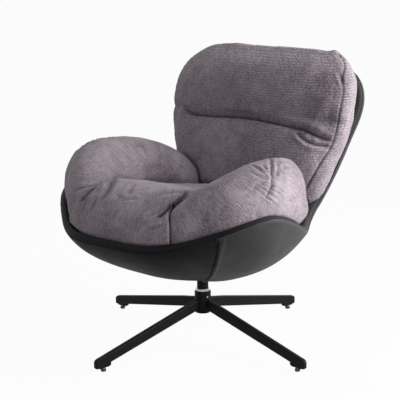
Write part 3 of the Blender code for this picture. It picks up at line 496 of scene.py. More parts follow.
class Shell:
    """Ribs run from the column to the rim; t goes once round the rim, u along a rib."""

    def __init__(self):
        rows = list(STATIONS)
        for rim, angle, first, way, last in STATIONS[-2:0:-1]:
            rows.append(((-rim[0], rim[1], rim[2]), 360 - angle, first, (-way[0], way[1], way[2]), last))
        rows.append(rows[0])
        rims, lows, highs = [], [], []
        for rim, angle, first, way, last in rows:
            out = compass(angle) * first
            rims.append(rim)
            lows.append((out.x, out.y, SHELL_LOW + CONE_RISE + CONE_TILT * math.cos(math.radians(angle))))
            highs.append(tuple(Vector(rim) - last * Vector(way).normalized()))
        rims = np.array(rims)
        steps = np.linalg.norm(np.diff(rims, axis=0), axis=1)
        knots = np.concatenate([[0.0], np.cumsum(steps)]) / steps.sum()
        self.low = periodic_spline(knots, np.array(lows))
        self.high = periodic_spline(knots, np.array(highs))
        self.rim = periodic_spline(knots, rims)

    def point(self, u, t):
        v = 1 - u
        foot = np.array([0.0, 0.0, SHELL_LOW])
        low, high = 3 * u * v * v * self.low(t), 3 * u * u * v * self.high(t)
        return v ** 3 * foot + low + high + u ** 3 * self.rim(t)

    def frame(self, u, t):
        step = 1e-3
        along = self.point(u + step, t) - self.point(u - step, t)
        across = self.point(u, t + step) - self.point(u, t - step)
        normal = np.cross(along, across)
        normal /= np.linalg.norm(normal)
        edge = np.cross(normal, across)
        edge /= np.linalg.norm(edge)
        if np.dot(edge, along) < 0:
            edge = -edge
        return self.point(u, t), normal, edge

    def offset(self, u, t, depth):
        point, normal, _ = self.frame(u, t)
        return point + normal * depth

    def last(self, t):
        speed = np.linalg.norm(3 * (self.rim(t) - self.high(t)))
        return 1 - 0.5 * SHELL_T / speed

    def rim_arc(self, t, radius, degrees):
        """Point on the rounded rim: 0 degrees outside, 90 at the top, 180 inside."""
        point, normal, edge = self.frame(self.last(t), t)
        a = math.radians(degrees)
        return point + normal * (0.5 * SHELL_T - radius * math.cos(a)) + edge * radius * math.sin(a)

    def start(self, t, radius):
        """Rib fraction at which the outside reaches a distance from the column's axis."""
        return crossing(0.0005, 0.6, lambda u: math.hypot(*self.point(u, t)[:2]) < radius)

    def t_of_angle(self, angle):
        def before(t):
            p = self.low(t)
            return math.degrees(math.atan2(p[0], -p[1])) < angle
        return crossing(0.0, 0.5, before)


shell = Shell()
SEAM_T = shell.t_of_angle(SEAM_ANGLE)


def loft(loops, wrap=False, caps=False):
    """Quads between closed loops of points."""
    bm = bmesh.new()
    rows = [[bm.verts.new(tuple(p)) for p in loop] for loop in loops]
    count = len(rows[0])
    for here, there in zip(rows, rows[1:] + rows[:1] if wrap else rows[1:]):
        for k in range(count):
            n = (k + 1) % count
            bm.faces.new((here[k], here[n], there[n], there[k]))
    if caps:
        for row in (rows[0], rows[-1]):
            for k in range(count // 2 - 1):
                bm.faces.new((row[k], row[k + 1], row[count - 2 - k], row[count - 1 - k]))
    bm.verts.ensure_lookup_table()
    return bm


def tube(centres, ups, radii, around):
    """Round bar along the centres, closed at both ends."""
    last = len(centres) - 1
    rings = []
    for k, centre in enumerate(centres):
        way = (centres[min(k + 1, last)] - centres[max(k - 1, 0)]).normalized()
        side = way.cross(ups[k]).normalized()
        up = side.cross(way)
        angles = [2 * math.pi * j / around for j in range(around)]
        rings.append([centre + radii[k] * (math.cos(a) * side + math.sin(a) * up) for a in angles])
    bm = loft(rings)
    bm.faces.new(bm.verts[:around])
    bm.faces.new(bm.verts[-around:])
    return bm


# Leather over the shell

RIB_ROWS = 34
RIB_EASE = 1.15          # crowds the rows towards the column
LIP_FRONT = 20.0         # where the outer leather meets the rim's band, in degrees round the rim
LIP_SIDE = 60.0
LIP_REAR = 104.0
LIP_SIDE_FROM = 0.045    # shares of the rim, counted from its front
LIP_SIDE_EASE = 0.11
LIP_REAR_FROM = 0.25
LIP_REAR_EASE = 0.08
LIP_GAP = 4.0
LIP_DIP = 0.0015
LIP_DIP_WIDTH = 5.0      # in degrees, as is LIP_EASE
LIP_EASE = 8.0
LIP_ROWS = 7
BAND_END = 165.0
BAND_WAVE = 0.0007
FRONT_TUCK = 0.0016
FRONT_TUCK_WIDTH = 0.004
FRONT_SINK = 0.0024
FRONT_SINK_WIDTH = 0.011
REAR_TUCK = 0.0012
REAR_TUCK_WIDTH = 0.0016
REAR_SWELL = 0.0018
REAR_SWELL_FROM_SEAM = 0.004
REAR_SWELL_WIDTH = 0.0038
REAR_PROUD = 0.0008
PANEL_WAVES = ((8.0, 0.0012), (22.0, 0.0006))
PUCKER_PITCH = 0.017
PUCKER = 0.0007
PUCKER_REACH = 0.022     # how far the puckers run down from the rim
PUCKER_SEAM_GAIN = 1.6
PUCKER_SEAM_REACH = 0.05
RIB_LENGTH = 0.40
LIP_PUCKER = 0.0006
SEAM_HALF_GAP = 0.0016
SEAM_RIBS = 12
SEAM_STRIP = 0.018       # width of the finer ribs beside the seam


def lip(t):
    a = abs((t + 0.5) % 1.0 - 0.5)
    to_side = smooth_step((a - LIP_SIDE_FROM) / LIP_SIDE_EASE)
    to_rear = smooth_step((a - LIP_REAR_FROM) / LIP_REAR_EASE)
    return LIP_FRONT + (LIP_SIDE - LIP_FRONT) * to_side + (LIP_REAR - LIP_SIDE) * to_rear


RIM_LENGTH = sum(
    float(np.linalg.norm(shell.rim((k + 1) / 200) - shell.rim(k / 200))) for k in range(200)
)


def panel_loop(t, front, from_seam):
    """Cross-section of the outer leather at rib t.

    The front panel sinks towards the side seam, the rear one ends there in a rounded edge.
    """
    first = shell.start(t, COLUMN_HOLE_R + HOLE_GAP)
    end = shell.last(t)
    if front:
        tuck = FRONT_TUCK * bell(from_seam, FRONT_TUCK_WIDTH)
        sink = FRONT_SINK * bell(from_seam, FRONT_SINK_WIDTH)
        swell = 0.0
    else:
        tuck = REAR_TUCK * bell(from_seam, REAR_TUCK_WIDTH)
        sink = 0.0
        swell = REAR_PROUD + REAR_SWELL * bell(from_seam - REAR_SWELL_FROM_SEAM, REAR_SWELL_WIDTH)
    run = t * RIM_LENGTH
    pull = 0.5 + 0.5 * noise.noise(Vector((run * 9.0, 3.7, 0)))
    fold = math.sin(2 * math.pi * run / PUCKER_PITCH + 4.0 * noise.noise(Vector((run * 14.0, 0, 1.3))))
    near_seam = 1 + PUCKER_SEAM_GAIN * bell(from_seam, PUCKER_SEAM_REACH)
    outside, inside = [], []
    for k in range(RIB_ROWS + 1):
        share = k / RIB_ROWS
        point, normal, _ = shell.frame(first + (end - first) * share ** RIB_EASE, t)
        wave = sum(height * noise.noise(Vector(point) * scale) for scale, height in PANEL_WAVES)
        pucker = PUCKER * near_seam * pull * fold * math.exp(-(1 - share) * RIB_LENGTH / PUCKER_REACH)
        lift = wave + swell - sink * smooth_step(1.4 - 1.3 * share)
        lift *= smooth_step(k / 6) * smooth_step((RIB_ROWS - k) / 4 + 0.15)
        outside.append(point + normal * (tuck - lift - pucker))
        inside.append(point + normal * (SKIN_T + (tuck + sink) * 0.3))
    radius = 0.5 * SHELL_T
    edge = lip(t)
    for k in range(1, LIP_ROWS + 1):
        degrees = edge * k / LIP_ROWS
        dip = LIP_DIP * bell(edge - degrees, LIP_DIP_WIDTH) + 0.6 * tuck
        pucker = LIP_PUCKER * pull * fold * smooth_step((edge - degrees) / LIP_EASE)
        outside.append(shell.rim_arc(t, radius - dip + pucker, degrees))
        inside.append(shell.rim_arc(t, radius - SKIN_T - tuck * 0.3, degrees))
    return outside + inside[::-1]


def make_panel(name, t_from, t_to, ribs, front, node):
    # Metres for each unit of t, beside the seam and well up the ribs
    span = np.linalg.norm(shell.point(0.7, t_from - 1e-3) - shell.point(0.7, t_from + 1e-3)) / 2e-3
    edge = SEAM_HALF_GAP / span
    fine = SEAM_STRIP / span
    ts = [t_from + edge + fine * k / SEAM_RIBS for k in range(SEAM_RIBS)]
    middle_from, middle_to = t_from + edge + fine, t_to - edge - fine
    ts += [middle_from + (middle_to - middle_from) * k / ribs for k in range(ribs + 1)]
    ts += [t_to - edge - fine * k / SEAM_RIBS for k in range(SEAM_RIBS - 1, -1, -1)]
    loops = [panel_loop(t, front, min(t - t_from, t_to - t) * span - SEAM_HALF_GAP) for t in ts]
    obj = new_object(name, loft(loops, caps=True))
    finish_piece(obj, SHADED_FRONT if front else PANEL)
    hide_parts(node)


make_panel("leather_front_painted_shade", -SEAM_T, SEAM_T, 70, True, "outer_panel_front")
make_panel("leather_rear", SEAM_T, 1 - SEAM_T, 170, False, "outer_panel_rear")

BAND_RIBS = 220
BAND_ROWS = 15
LINER_ROWS = 12
SEAM_ROWS = 4            # the band's first rows, in the shade of its seam
# share of the painted light that the rows by the seam get
SEAM_PAINTED_LIGHT = 0.65
PAINTED_LIGHT_FROM = 0.09         # share of the rim's length over which the front keeps the band's painted shade


def band_loop(t):
    """Leather band over the rim and down the inside of the shell."""
    end = shell.last(t)
    radius = 0.5 * SHELL_T
    outside, inside = [], []
    start = lip(t) + LIP_GAP
    for k in range(BAND_ROWS):
        degrees = start + (BAND_END - start) * (k / (BAND_ROWS - 1)) ** 1.3
        dip = LIP_DIP * bell(degrees - start, LIP_DIP_WIDTH)
        wave = BAND_WAVE * noise.noise(Vector(shell.rim_arc(t, radius, degrees)) * 16.0)
        outside.append(shell.rim_arc(t, radius - dip + wave, degrees))
        inside.append(shell.rim_arc(t, radius - SKIN_T, degrees))
    for k in range(LINER_ROWS):
        u = end * (1.0 - (1.0 - LINER_START) * k / (LINER_ROWS - 1))
        outside.append(shell.offset(u, t, SHELL_T))
        inside.append(shell.offset(u, t, SHELL_T - SKIN_T))
    return outside + inside[::-1]


band_loops = [band_loop(k / BAND_RIBS) for k in range(BAND_RIBS)]
band = new_object("leather_rim_band", loft(band_loops, wrap=True))
rib, row = np.divmod(np.arange(len(band.data.vertices)), 2 * (BAND_ROWS + LINER_ROWS))
from_front = np.minimum(rib, BAND_RIBS - rib) / BAND_RIBS
# Painted light: the band eases to the panels' colour along its sides and rear; its front and the rows by
# its seam keep the band's painted shade
painted_light = smooth_step((from_front - PAINTED_LIGHT_FROM) / PAINTED_LIGHT_FROM) * np.where(row < SEAM_ROWS, SEAM_PAINTED_LIGHT, 1.0)
store(band, "painted_light", painted_light)
finish_piece(band, SHADED_BAND)
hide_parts("inner_liner")

WELT_R = 0.0021
WELT_TIP = 0.45          # thickness of its very ends, as a share
WELT_SINK = 0.0004
WELT_FOOT = 0.0026       # how much thicker its tucked end is
WELT_FOOT_LIFT = 0.0012
WELT_START = 0.10
WELT_END = 0.985
WELT_ROWS = 46


def make_welt(name, t, node):
    """Piping in the side seam, with a thicker tucked end near the column."""
    end = shell.last(t)
    points, ups, radii = [], [], []
    for k in range(WELT_ROWS):
        u = end * (WELT_START + (WELT_END - WELT_START) * k / (WELT_ROWS - 1))
        point, normal, _ = shell.frame(u, t)
        points.append(Vector(point + normal * (WELT_SINK - WELT_FOOT_LIFT * bell(k, 5.0))))
        ups.append(-Vector(normal))
        radii.append(WELT_R + WELT_FOOT * math.exp(-(k / 7.0) ** 2))
    radii[0] *= WELT_TIP
    radii[-1] *= WELT_TIP
    obj = new_object(name, tube(points, ups, radii, 12))
    # The piping takes the rim band's leather, painted darker for shade
    finish_piece(obj, SHADED_BAND)
    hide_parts(node)


make_welt("welt_piping_left", SEAM_T, "welt_left")
make_welt("welt_piping_right", 1 - SEAM_T, "welt_right")


# Cushions

ARM_STATIONS = (
    (0.120, -0.335, 0.042, 0.440),
    (0.162, -0.297, 0.054, 0.486),
    (0.206, -0.251, 0.064, 0.529),
    (0.248, -0.201, 0.079, 0.557),
    (0.278, -0.146, 0.091, 0.577),
    (0.288, -0.085, 0.091, 0.584),
    (0.278, -0.022, 0.081, 0.582),
    (0.247, 0.035, 0.066, 0.571),
    (0.217, 0.082, 0.058, 0.555),
    (0.189, 0.124, 0.053, 0.526),
    (0.158, 0.164, 0.050, 0.482),
)
ARM_CENTRE_DROP = 0.105
ARM_DEPTH = 0.135
ARM_FULL_HALF = 0.08     # half width from which an arm has its full drop
ARM_END_ROUND = 6.0      # the higher, the blunter the ends of a form
ARM_POWERS = (0.86, 0.90)
ARM_SEAM_POINT = (0.165, -0.330)
ARM_SEAM_NORMAL = (-0.77, -0.64)
SEAT_STATIONS = (
    (-0.385, 0.150, 0.436, 0.060),
    (-0.358, 0.190, 0.464, 0.085),
    (-0.310, 0.225, 0.490, 0.130),
    (-0.245, 0.245, 0.503, 0.180),
    (-0.170, 0.250, 0.495, 0.215),
    (-0.085, 0.250, 0.471, 0.230),
    (0.010, 0.245, 0.451, 0.230),
    (0.105, 0.235, 0.439, 0.215),
    (0.190, 0.210, 0.431, 0.165),
)
SEAT_MID_DROP = 0.062
SEAT_END_ROUND = 5.0
SEAT_POWERS = (0.62, 0.74)
SEAT_POCKET_R = 0.086
SEAT_POCKET_TOP = 0.2325
SEAT_POCKET_LOW = 0.18
SEAT_CORNER_CUT = 0.14
BACK_STATIONS = (
    (0.226, 0.330, 0.240, 0.050, 0.026),
    (0.236, 0.390, 0.262, 0.076, 0.044),
    (0.240, 0.450, 0.278, 0.088, 0.062),
    (0.251, 0.515, 0.297, 0.094, 0.079),
    (0.263, 0.575, 0.316, 0.088, 0.088),
    (0.270, 0.611, 0.323, 0.076, 0.091),
    (0.275, 0.633, 0.325, 0.064, 0.092),
    (0.280, 0.655, 0.327, 0.078, 0.094),
    (0.294, 0.715, 0.325, 0.094, 0.096),
    (0.311, 0.773, 0.310, 0.090, 0.095),
    (0.330, 0.831, 0.274, 0.066, 0.074),
)
BACK_END_ROUND = 5.5
BACK_CORNER = 0.048
BACK_SECTION = (
    (0.00, -1.00, 0.00),
    (0.34, -0.97, 0.00),
    (0.61, -0.89, 0.00),
    (0.81, -0.74, 0.00),
    (0.94, -0.53, 0.00),
    (1.00, -0.26, 0.00),
    (0.99, 0.05, 0.00),
    (0.95, 0.38, 0.005),
    (0.90, 0.70, 0.010),
    (0.80, 0.92, 0.015),
    (0.55, 1.00, 0.010),
    (0.28, 1.00, 0.005),
    (0.00, 1.00, 0.00),
)


def natural_curve(values, steps):
    """Smooth curve through stations, sampled evenly."""
    values = [np.array(v, float) for v in values]
    padded = [2 * values[0] - values[1]] + values + [2 * values[-1] - values[-2]]
    spans = len(values) - 1
    result = []
    for k in range(steps + 1):
        s = k / steps * spans
        i = min(int(s), spans - 1)
        f = s - i
        a, b, c, d = padded[i:i + 4]
        square = (2 * a - 5 * b + 4 * c - d) * f ** 2
        cube = (3 * b - a - 3 * c + d) * f ** 3
        result.append(0.5 * (2 * b + (c - a) * f + square + cube))
    return result


def signed_power(value, exponent):
    return math.copysign(abs(value) ** exponent, value)


def end_factor(w, sharp):
    return max(0.0, 1 - abs(2 * w - 1) ** sharp) ** (1 / sharp)


def heading(stations, k):
    """Direction of the stations' path at station k, in the plane of their first two values."""
    before = stations[max(k - 1, 0)]
    after = stations[min(k + 1, len(stations) - 1)]
    return Vector((after[0] - before[0], after[1] - before[1])).normalized()


def closed_form(rings):
    bm = loft(rings)
    count = len(rings[0])
    for row in (bm.verts[:count], bm.verts[-count:]):
        pole = bm.verts.new(sum((v.co for v in row), Vector()) / count)
        for k in range(count):
            bm.faces.new((row[k], row[(k + 1) % count], pole))
    bmesh.ops.triangulate(bm, faces=bm.faces)
    return bm


def section(half, above, below, powers, around):
    """Offsets across and up, round the section of an arm or the seat."""
    offsets = []
    for j in range(around):
        a = 2 * math.pi * j / around
        up = signed_power(math.sin(a), powers[1])
        offsets.append((signed_power(math.cos(a), powers[0]) * half, up * (below if up < 0 else above)))
    return offsets


def arm_form(side, grow, steps=50, around=52):
    stations = natural_curve(ARM_STATIONS, steps)
    rings = []
    for k, (cx, cy, half, top) in enumerate(stations):
        way = heading(stations, k)
        shrink = max(end_factor(0.03 + 0.94 * k / steps, ARM_END_ROUND), 0.15)
        fall = ARM_CENTRE_DROP * min(1.0, half / ARM_FULL_HALF)
        size = (half * shrink + grow, fall * shrink + grow, ARM_DEPTH * shrink + grow)
        rings.append([
            (side * (cx + way.y * across), cy - way.x * across, top - fall + up)
            for across, up in section(*size, ARM_POWERS, around)
        ])
    return closed_form(rings)


def seat_form(grow, steps=44, around=72):
    rings = []
    for k, (y, half, top, deep) in enumerate(natural_curve(SEAT_STATIONS, steps)):
        shrink = max(end_factor(0.02 + 0.96 * k / steps, SEAT_END_ROUND), 0.2)
        size = (half * shrink + grow, SEAT_MID_DROP * shrink + grow, deep * shrink + grow)
        rings.append([
            (across, y, top - SEAT_MID_DROP + up) for across, up in section(*size, SEAT_POWERS, around)
        ])
    return closed_form(rings)


def back_form(grow, steps=60, fine=4):
    stations = natural_curve(BACK_STATIONS, steps)
    half_outline = [tuple(p) for p in natural_curve(BACK_SECTION, fine * (len(BACK_SECTION) - 1))]
    outline = half_outline + [(-x, d, -more) for x, d, more in half_outline[-2:0:-1]]
    rings = []
    for k, (y, z, half, front, rear) in enumerate(stations):
        w = k / steps
        way = heading(stations, k)
        shrink = max(end_factor(0.02 + 0.96 * w, BACK_END_ROUND), 0.25)
        corner = BACK_CORNER * max(0.0, 4 * w - 3) ** 2
        upper = min(max((w - 0.42) / 0.25, 0.0), 1.0)
        ring = []
        for x, deep, more in outline:
            across = (x + more * upper) * (half * shrink + grow) + max(x, 0.0) * corner
            lean = deep * ((rear if deep > 0 else front) * shrink + grow)
            ring.append((across, y + way.y * lean, z - way.x * lean))
        rings.append(ring)
    return closed_form(rings)


def block_form(grow, ribs=150):
    """The shell wall as a solid cutter."""
    loops = []
    depth = SHELL_T + grow
    shares = [0.10 + 0.90 * k / 16 for k in range(17)]
    for k in range(ribs):
        t = k / ribs
        end = shell.last(t)
        loop = [shell.offset(s * end, t, -BLOCK_T) for s in (0.10, 0.36, 0.62, 0.88, 1.0)]
        loop += [shell.rim_arc(t, 0.5 * SHELL_T + grow, d) for d in range(0, 181, 15)]
        loop += [shell.offset(s * end, t, depth) for s in shares[-2::-1]]
        loops.append(loop)
    bm = bmesh.new()
    rows = [[bm.verts.new(tuple(p)) for p in loop] for loop in loops]
    low_pole = bm.verts.new((0, 0, SHELL_LOW - BLOCK_T))
    high_pole = bm.verts.new((0, 0, SHELL_LOW + depth))
    for here, there in zip(rows, rows[1:] + rows[:1]):
        for k in range(len(here) - 1):
            bm.faces.new((here[k], here[k + 1], there[k + 1], there[k]))
        bm.faces.new((low_pole, here[0], there[0]))
        bm.faces.new((high_pole, there[-1], here[-1]))
    bmesh.ops.triangulate(bm, faces=bm.faces)
    return bm


def seam_block(name, side, across, along):
    """Upright block at an arm's front seam, between two distances across the seam and two along it."""
    front = Vector(ARM_SEAM_NORMAL).normalized()
    way = Vector((-front.y, front.x))
    bm = bmesh.new()
    bmesh.ops.create_cube(bm, size=1.0)
    for vert in bm.verts:
        a = across[0] if vert.co.x < 0 else across[1]
        b = along[0] if vert.co.y < 0 else along[1]
        x, y = Vector(ARM_SEAM_POINT) + a * front + b * way
        vert.co = (side * x, y, 0.0 if vert.co.z < 0 else 1.0)
    bm.normal_update()
    return new_object(name, bm)


VOXEL = 0.0055
SPREAD = 0.0007          # room between neighbouring cushions
SHELL_ROOM = 0.0006
ARM_INSET = 0.003        # how much smaller the cushions are before they swell
SEAT_INSET = 0.004
BACK_INSET = 0.003
CONTACT_GAP = 0.004      # closer than this to a neighbour, nothing swells
CONTACT_EASE = 0.016
SEAM_REACH = 0.016
SEAM_SPAN = (-0.010, 0.12)
SEAM_HOLD = 0.012        # how far from a seam its cloth is kept short
LINE_STEP = 0.003
SWELL_FRAMES = 20
SEAM_SHRINK = -0.05
INWARD_UNDONE = 0.75     # share of a swelling's inward moves that is taken back
CLOTH = {
    "quality": 4,
    "mass": 0.25,
    "tension_stiffness": 12,
    "compression_stiffness": 6,
    "shear_stiffness": 4,
    "bending_stiffness": 0.4,
    "use_pressure": True,
}


def distances(points, line):
    """Distance of each point to the nearest of the line's points, and that point's index."""
    best = np.full(len(points), 1e9)
    index = np.zeros(len(points), int)
    for k, q in enumerate(line):
        d = ((points - q) ** 2).sum(1)
        closer = d < best
        best[closer] = d[closer]
        index[closer] = k
    return np.sqrt(best), index


def resample(points, spacing=LINE_STEP):
    """Evenly spaced points on a smooth line; a line with one or two points found stays straight."""
    smooth = natural_curve(points, 12 * (len(points) - 1)) if len(points) > 2 else points
    smooth = np.array(smooth)
    steps = np.linalg.norm(np.diff(smooth, axis=0), axis=1)
    lengths = np.concatenate([[0.0], np.cumsum(steps)])
    where = np.linspace(0, lengths[-1], max(int(lengths[-1] / spacing), 4) + 1)
    return np.array([np.interp(where, lengths, smooth[:, i]) for i in range(3)]).T


def on_surface(surface, points):
    return np.array([surface.find_nearest(Vector(p))[0] for p in points])


def from_pixels(surface, pixels):
    """Points where the photograph's lines of sight meet a cushion."""
    hits = (surface.ray_cast(EYE, pixel_ray(x, y))[0] for x, y in pixels)
    return [hit for hit in hits if hit is not None]


def mirrored(points, side):
    return [(p[0] * side, p[1], p[2]) for p in points]


def faded(line, index, fade):
    """1 along the line, easing to 0 over a share of it at both ends."""
    t = index / (len(line) - 1)
    return smooth_step(np.minimum(t, 1 - t) / fade)


def patches(base, surface, spots, side=1):
    """Sum of soft patches, each given by a pixel of the photograph, a strength and a reach."""
    total = np.zeros(len(base))
    for pixel, strength, reach in spots:
        for place in mirrored(from_pixels(surface, [pixel]), side):
            total += strength * bell(np.linalg.norm(base - np.array(place), axis=1), reach)
    return total


def inflate(obj, neighbours, pressure, cap, seams):
    """Cloth under pressure swells the cushion; contact faces keep their place."""
    base, outward = read(obj.data), read(obj.data, "normal")
    room = np.ones(len(base))
    for tree in neighbours:
        for i, p in enumerate(base):
            if room[i] <= 0:
                continue
            gap = tree.find_nearest(Vector(p), CONTACT_GAP + CONTACT_EASE)[3]
            if gap is not None:
                room[i] = min(room[i], max(0.0, (gap - CONTACT_GAP) / CONTACT_EASE))
    cloth = obj.modifiers.new("cloth", "CLOTH")
    for key, value in CLOTH.items():
        setattr(cloth.settings, key, value)
    cloth.settings.uniform_pressure_force = pressure
    cloth.settings.effector_weights.gravity = 0
    if seams:
        group = obj.vertex_groups.new(name="seams")
        d, _ = distances(base, np.vstack(seams))
        for i, value in enumerate(np.clip(1 - d / SEAM_HOLD, 0, 1)):
            if value > 0:
                group.add([i], float(value), "REPLACE")
        cloth.settings.vertex_group_shrink = "seams"
        cloth.settings.shrink_min = 0.0
        cloth.settings.shrink_max = SEAM_SHRINK
    cloth.point_cache.frame_start = 1
    cloth.point_cache.frame_end = SWELL_FRAMES
    for number in range(1, SWELL_FRAMES + 1):
        scene.frame_set(number)
    graph = bpy.context.evaluated_depsgraph_get()
    swollen = read(obj.evaluated_get(graph).to_mesh())
    obj.modifiers.clear()
    obj.vertex_groups.clear()
    scene.frame_set(1)
    move = swollen - base
    inward = np.minimum((move * outward).sum(1), 0.0)
    move -= outward * (INWARD_UNDONE * inward)[:, None]
    length = np.linalg.norm(move, axis=1)
    scale = np.minimum(1.0, cap / np.maximum(length, 1e-6)) * room
    set_coords(obj, base + move * scale[:, None])


def seam_offsets(co, side):
    """Distance across an arm's front seam, and whether a point is beside the part of it that shows."""
    front = np.array((*ARM_SEAM_NORMAL, 0.0)) / math.hypot(*ARM_SEAM_NORMAL)
    normal = front * (side, 1.0, 1.0)
    way = np.array((-side * front[1], front[0], 0.0))
    away = co - np.array((side * ARM_SEAM_POINT[0], ARM_SEAM_POINT[1], 0.0))
    along = away @ way
    return np.abs(away @ normal), (along > SEAM_SPAN[0]) & (along < SEAM_SPAN[1])


def crisp_seam(obj, form, sides):
    """Draws the cloth beside an arm's front seam back to the unsmoothed form."""
    co = read(obj.data)
    for side in sides:
        off, near = seam_offsets(co, side)
        pull = np.where(near, np.clip((SEAM_REACH - off) / (0.6 * SEAM_REACH), 0, 1), 0.0)
        for i in np.nonzero(pull)[0]:
            co[i] += pull[i] * (np.array(form.find_nearest(Vector(co[i]))[0]) - co[i])
    set_coords(obj, co)


def make_cushion(raw, name, node, smoothing, pressure, cap, neighbours, seams, sides=()):
    """Remeshes, swells and refines a raw form; returns its seams as lines on it."""
    raw.name = name
    raw.data.name = name
    form = tree_of(raw)
    modify(raw, "REMESH", mode="VOXEL", voxel_size=VOXEL)
    modify(raw, "SMOOTH", factor=0.5, iterations=smoothing)
    apply_modifiers(raw)
    surface = tree_of(raw)
    lines = [on_surface(surface, resample(s)) for s in seams]
    inflate(raw, neighbours, pressure, cap, lines)
    crisp_seam(raw, form, sides)
    modify(raw, "SUBSURF", levels=1, render_levels=1)
    apply_modifiers(raw)
    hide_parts(node)
    return lines


FOLD_PAINTED_SHADE = 62.0         # painted shade of a fold per metre of depth
FOLD_FADE = 0.35
FOLD_SHADE_WIDTH = 0.7          # width of its line of painted shade, as a share of the fold's own
# Painted shade of the seam between an arm and the seat, its width, and the softer painted shade beside it
SEAM_PAINTED_SHADE = 0.50
SEAM_PAINTED_SHADE_WIDTH = 0.0024
SEAM_SHADE = 0.20
SEAM_SHADE_FROM_SEAM = 0.0046


class Relief:
    """Collects the push along a cushion's normals and the painted shade of each point in a seam, fold or
    slit.
    """

    def __init__(self, obj, seed, waves):
        self.obj = obj
        self.surface = tree_of(obj)
        self.base = read(obj.data)
        self.normals = read(obj.data, "normal")
        self.dark = np.zeros(len(self.base))
        self.push = np.zeros(len(self.base))
        shift = Vector((seed, seed * 0.7, 0))
        for scale, height in waves:
            self.push += height * np.array([noise.noise(Vector(p) * scale + shift) for p in self.base])

    def cast(self, tree, pixels, side=1):
        """Line on the cushion through pixels of the photograph, mirrored for the other side."""
        return on_surface(self.surface, resample(mirrored(from_pixels(tree, pixels), side)))

    def crease(self, line, depth, width, rise, fade):
        """Soft furrow along the line, with slightly raised banks."""
        d, index = distances(self.base, line)
        push = rise * bell(d - 2.3 * width, 1.2 * width) - bell(d, width)
        self.push += depth * push * faded(line, index, fade)

    def roll(self, line, depth, width, over):
        """Tufted channel: a furrow whose upper side rolls over it."""
        d, index = distances(self.base, line)
        above = np.where(self.base[:, 2] > line[index, 2], d, -d)
        push = over * bell(above - 1.7 * width, 1.5 * width) - depth * bell(d, width)
        push -= 0.35 * over * bell(above + 1.2 * width, 1.3 * width)
        self.push += push * faded(line, index, 0.08)

    def gathers(self, line, height, pitch, reach, seed):
        """Short folds that run away from a seam."""
        d, index = distances(self.base, line)
        spots = np.arange(len(line)) * LINE_STEP
        wobble = np.array([noise.noise(Vector((seed + s * 38.0, seed * 1.7, 0))) for s in spots])
        strength = np.array([noise.noise(Vector((seed * 2.1, s * 21.0, seed))) for s in spots])
        strength = 0.3 + 1.4 * np.abs(strength)
        fold = np.sin(2 * math.pi * spots[index] / pitch + 5.0 * wobble[index]) * strength[index]
        near = np.exp(-d / reach) * np.clip(d / 0.004, 0, 1) * faded(line, index, 0.08)
        self.push += height * fold * near

    def swell(self, tree, spots, side=1, share=1.0):
        self.push += share * patches(self.base, tree, spots, side)

    # Painted shade along a line, easing off at its ends
    def mark(self, line, width, strength, fade):
        d, index = distances(self.base, line)
        self.paint_shade(strength * bell(d, width) * faded(line, index, fade))

    # Keeps the deepest painted shade at each point
    def paint_shade(self, dark):
        self.dark = np.maximum(self.dark, dark)

    def folds(self, tree, rows, rise, fade, side=1, share=1.0):
        """Creases with their lines of painted shade, each given by pixels, a depth and a width."""
        for pixels, depth, width in rows:
            line = self.cast(tree, pixels, side)
            self.crease(line, depth * share, width, rise, fade)
            self.mark(line, FOLD_SHADE_WIDTH * width, FOLD_PAINTED_SHADE * depth * share, FOLD_FADE)

    def paint_seam_shade(self, side):
        """Painted shade along the seam between an arm and the seat, and softer painted shade beside it.
        """
        off, near = seam_offsets(self.base, side)
        dark = SEAM_PAINTED_SHADE * bell(off, SEAM_PAINTED_SHADE_WIDTH)
        shade = SEAM_SHADE * bell(off - SEAM_SHADE_FROM_SEAM, SEAM_PAINTED_SHADE_WIDTH)
        self.paint_shade(np.where(near, dark + shade, 0.0))

    def apply(self):
        co = self.base + self.normals * self.push[:, None]
        set_coords(self.obj, co)
        return co

    def finish(self, across, along, rows, tree, nap_light_and_shade):
        """Stores the cloth's coordinates in metres, how clear its rows are, the painted shade of its
        seams and folds, and its patches of painted light and shade on the pile.
        """
        store(self.obj, "weave", np.stack([across, along, np.broadcast_to(rows, len(across))], 1))
        store(self.obj, "painted_shade", self.dark)
        store(self.obj, "nap_light_and_shade", patches(self.base, tree, nap_light_and_shade))
        finish_piece(self.obj, FABRIC)


THREAD_STEP = 0.004


def thread_line(name, cushion, points, radius, lift):
    """A sewn line that lies in its furrow."""
    surface = tree_of(cushion)
    centres, ups = [], []
    for p in resample(on_surface(surface, points), THREAD_STEP):
        place, normal, _, _ = surface.find_nearest(Vector(p))
        centres.append(place + normal * lift)
        ups.append(normal)
    last = len(centres) - 1
    for _ in range(4):
        inner = [0.5 * centres[k] + 0.25 * (centres[k - 1] + centres[k + 1]) for k in range(1, last)]
        centres = [centres[0]] + inner + [centres[last]]
    radii = [radius * (0.4 if k in (0, last) else 1.0) for k in range(last + 1)]
    finish_piece(new_object(name, tube(centres, ups, radii, 6)), THREAD)


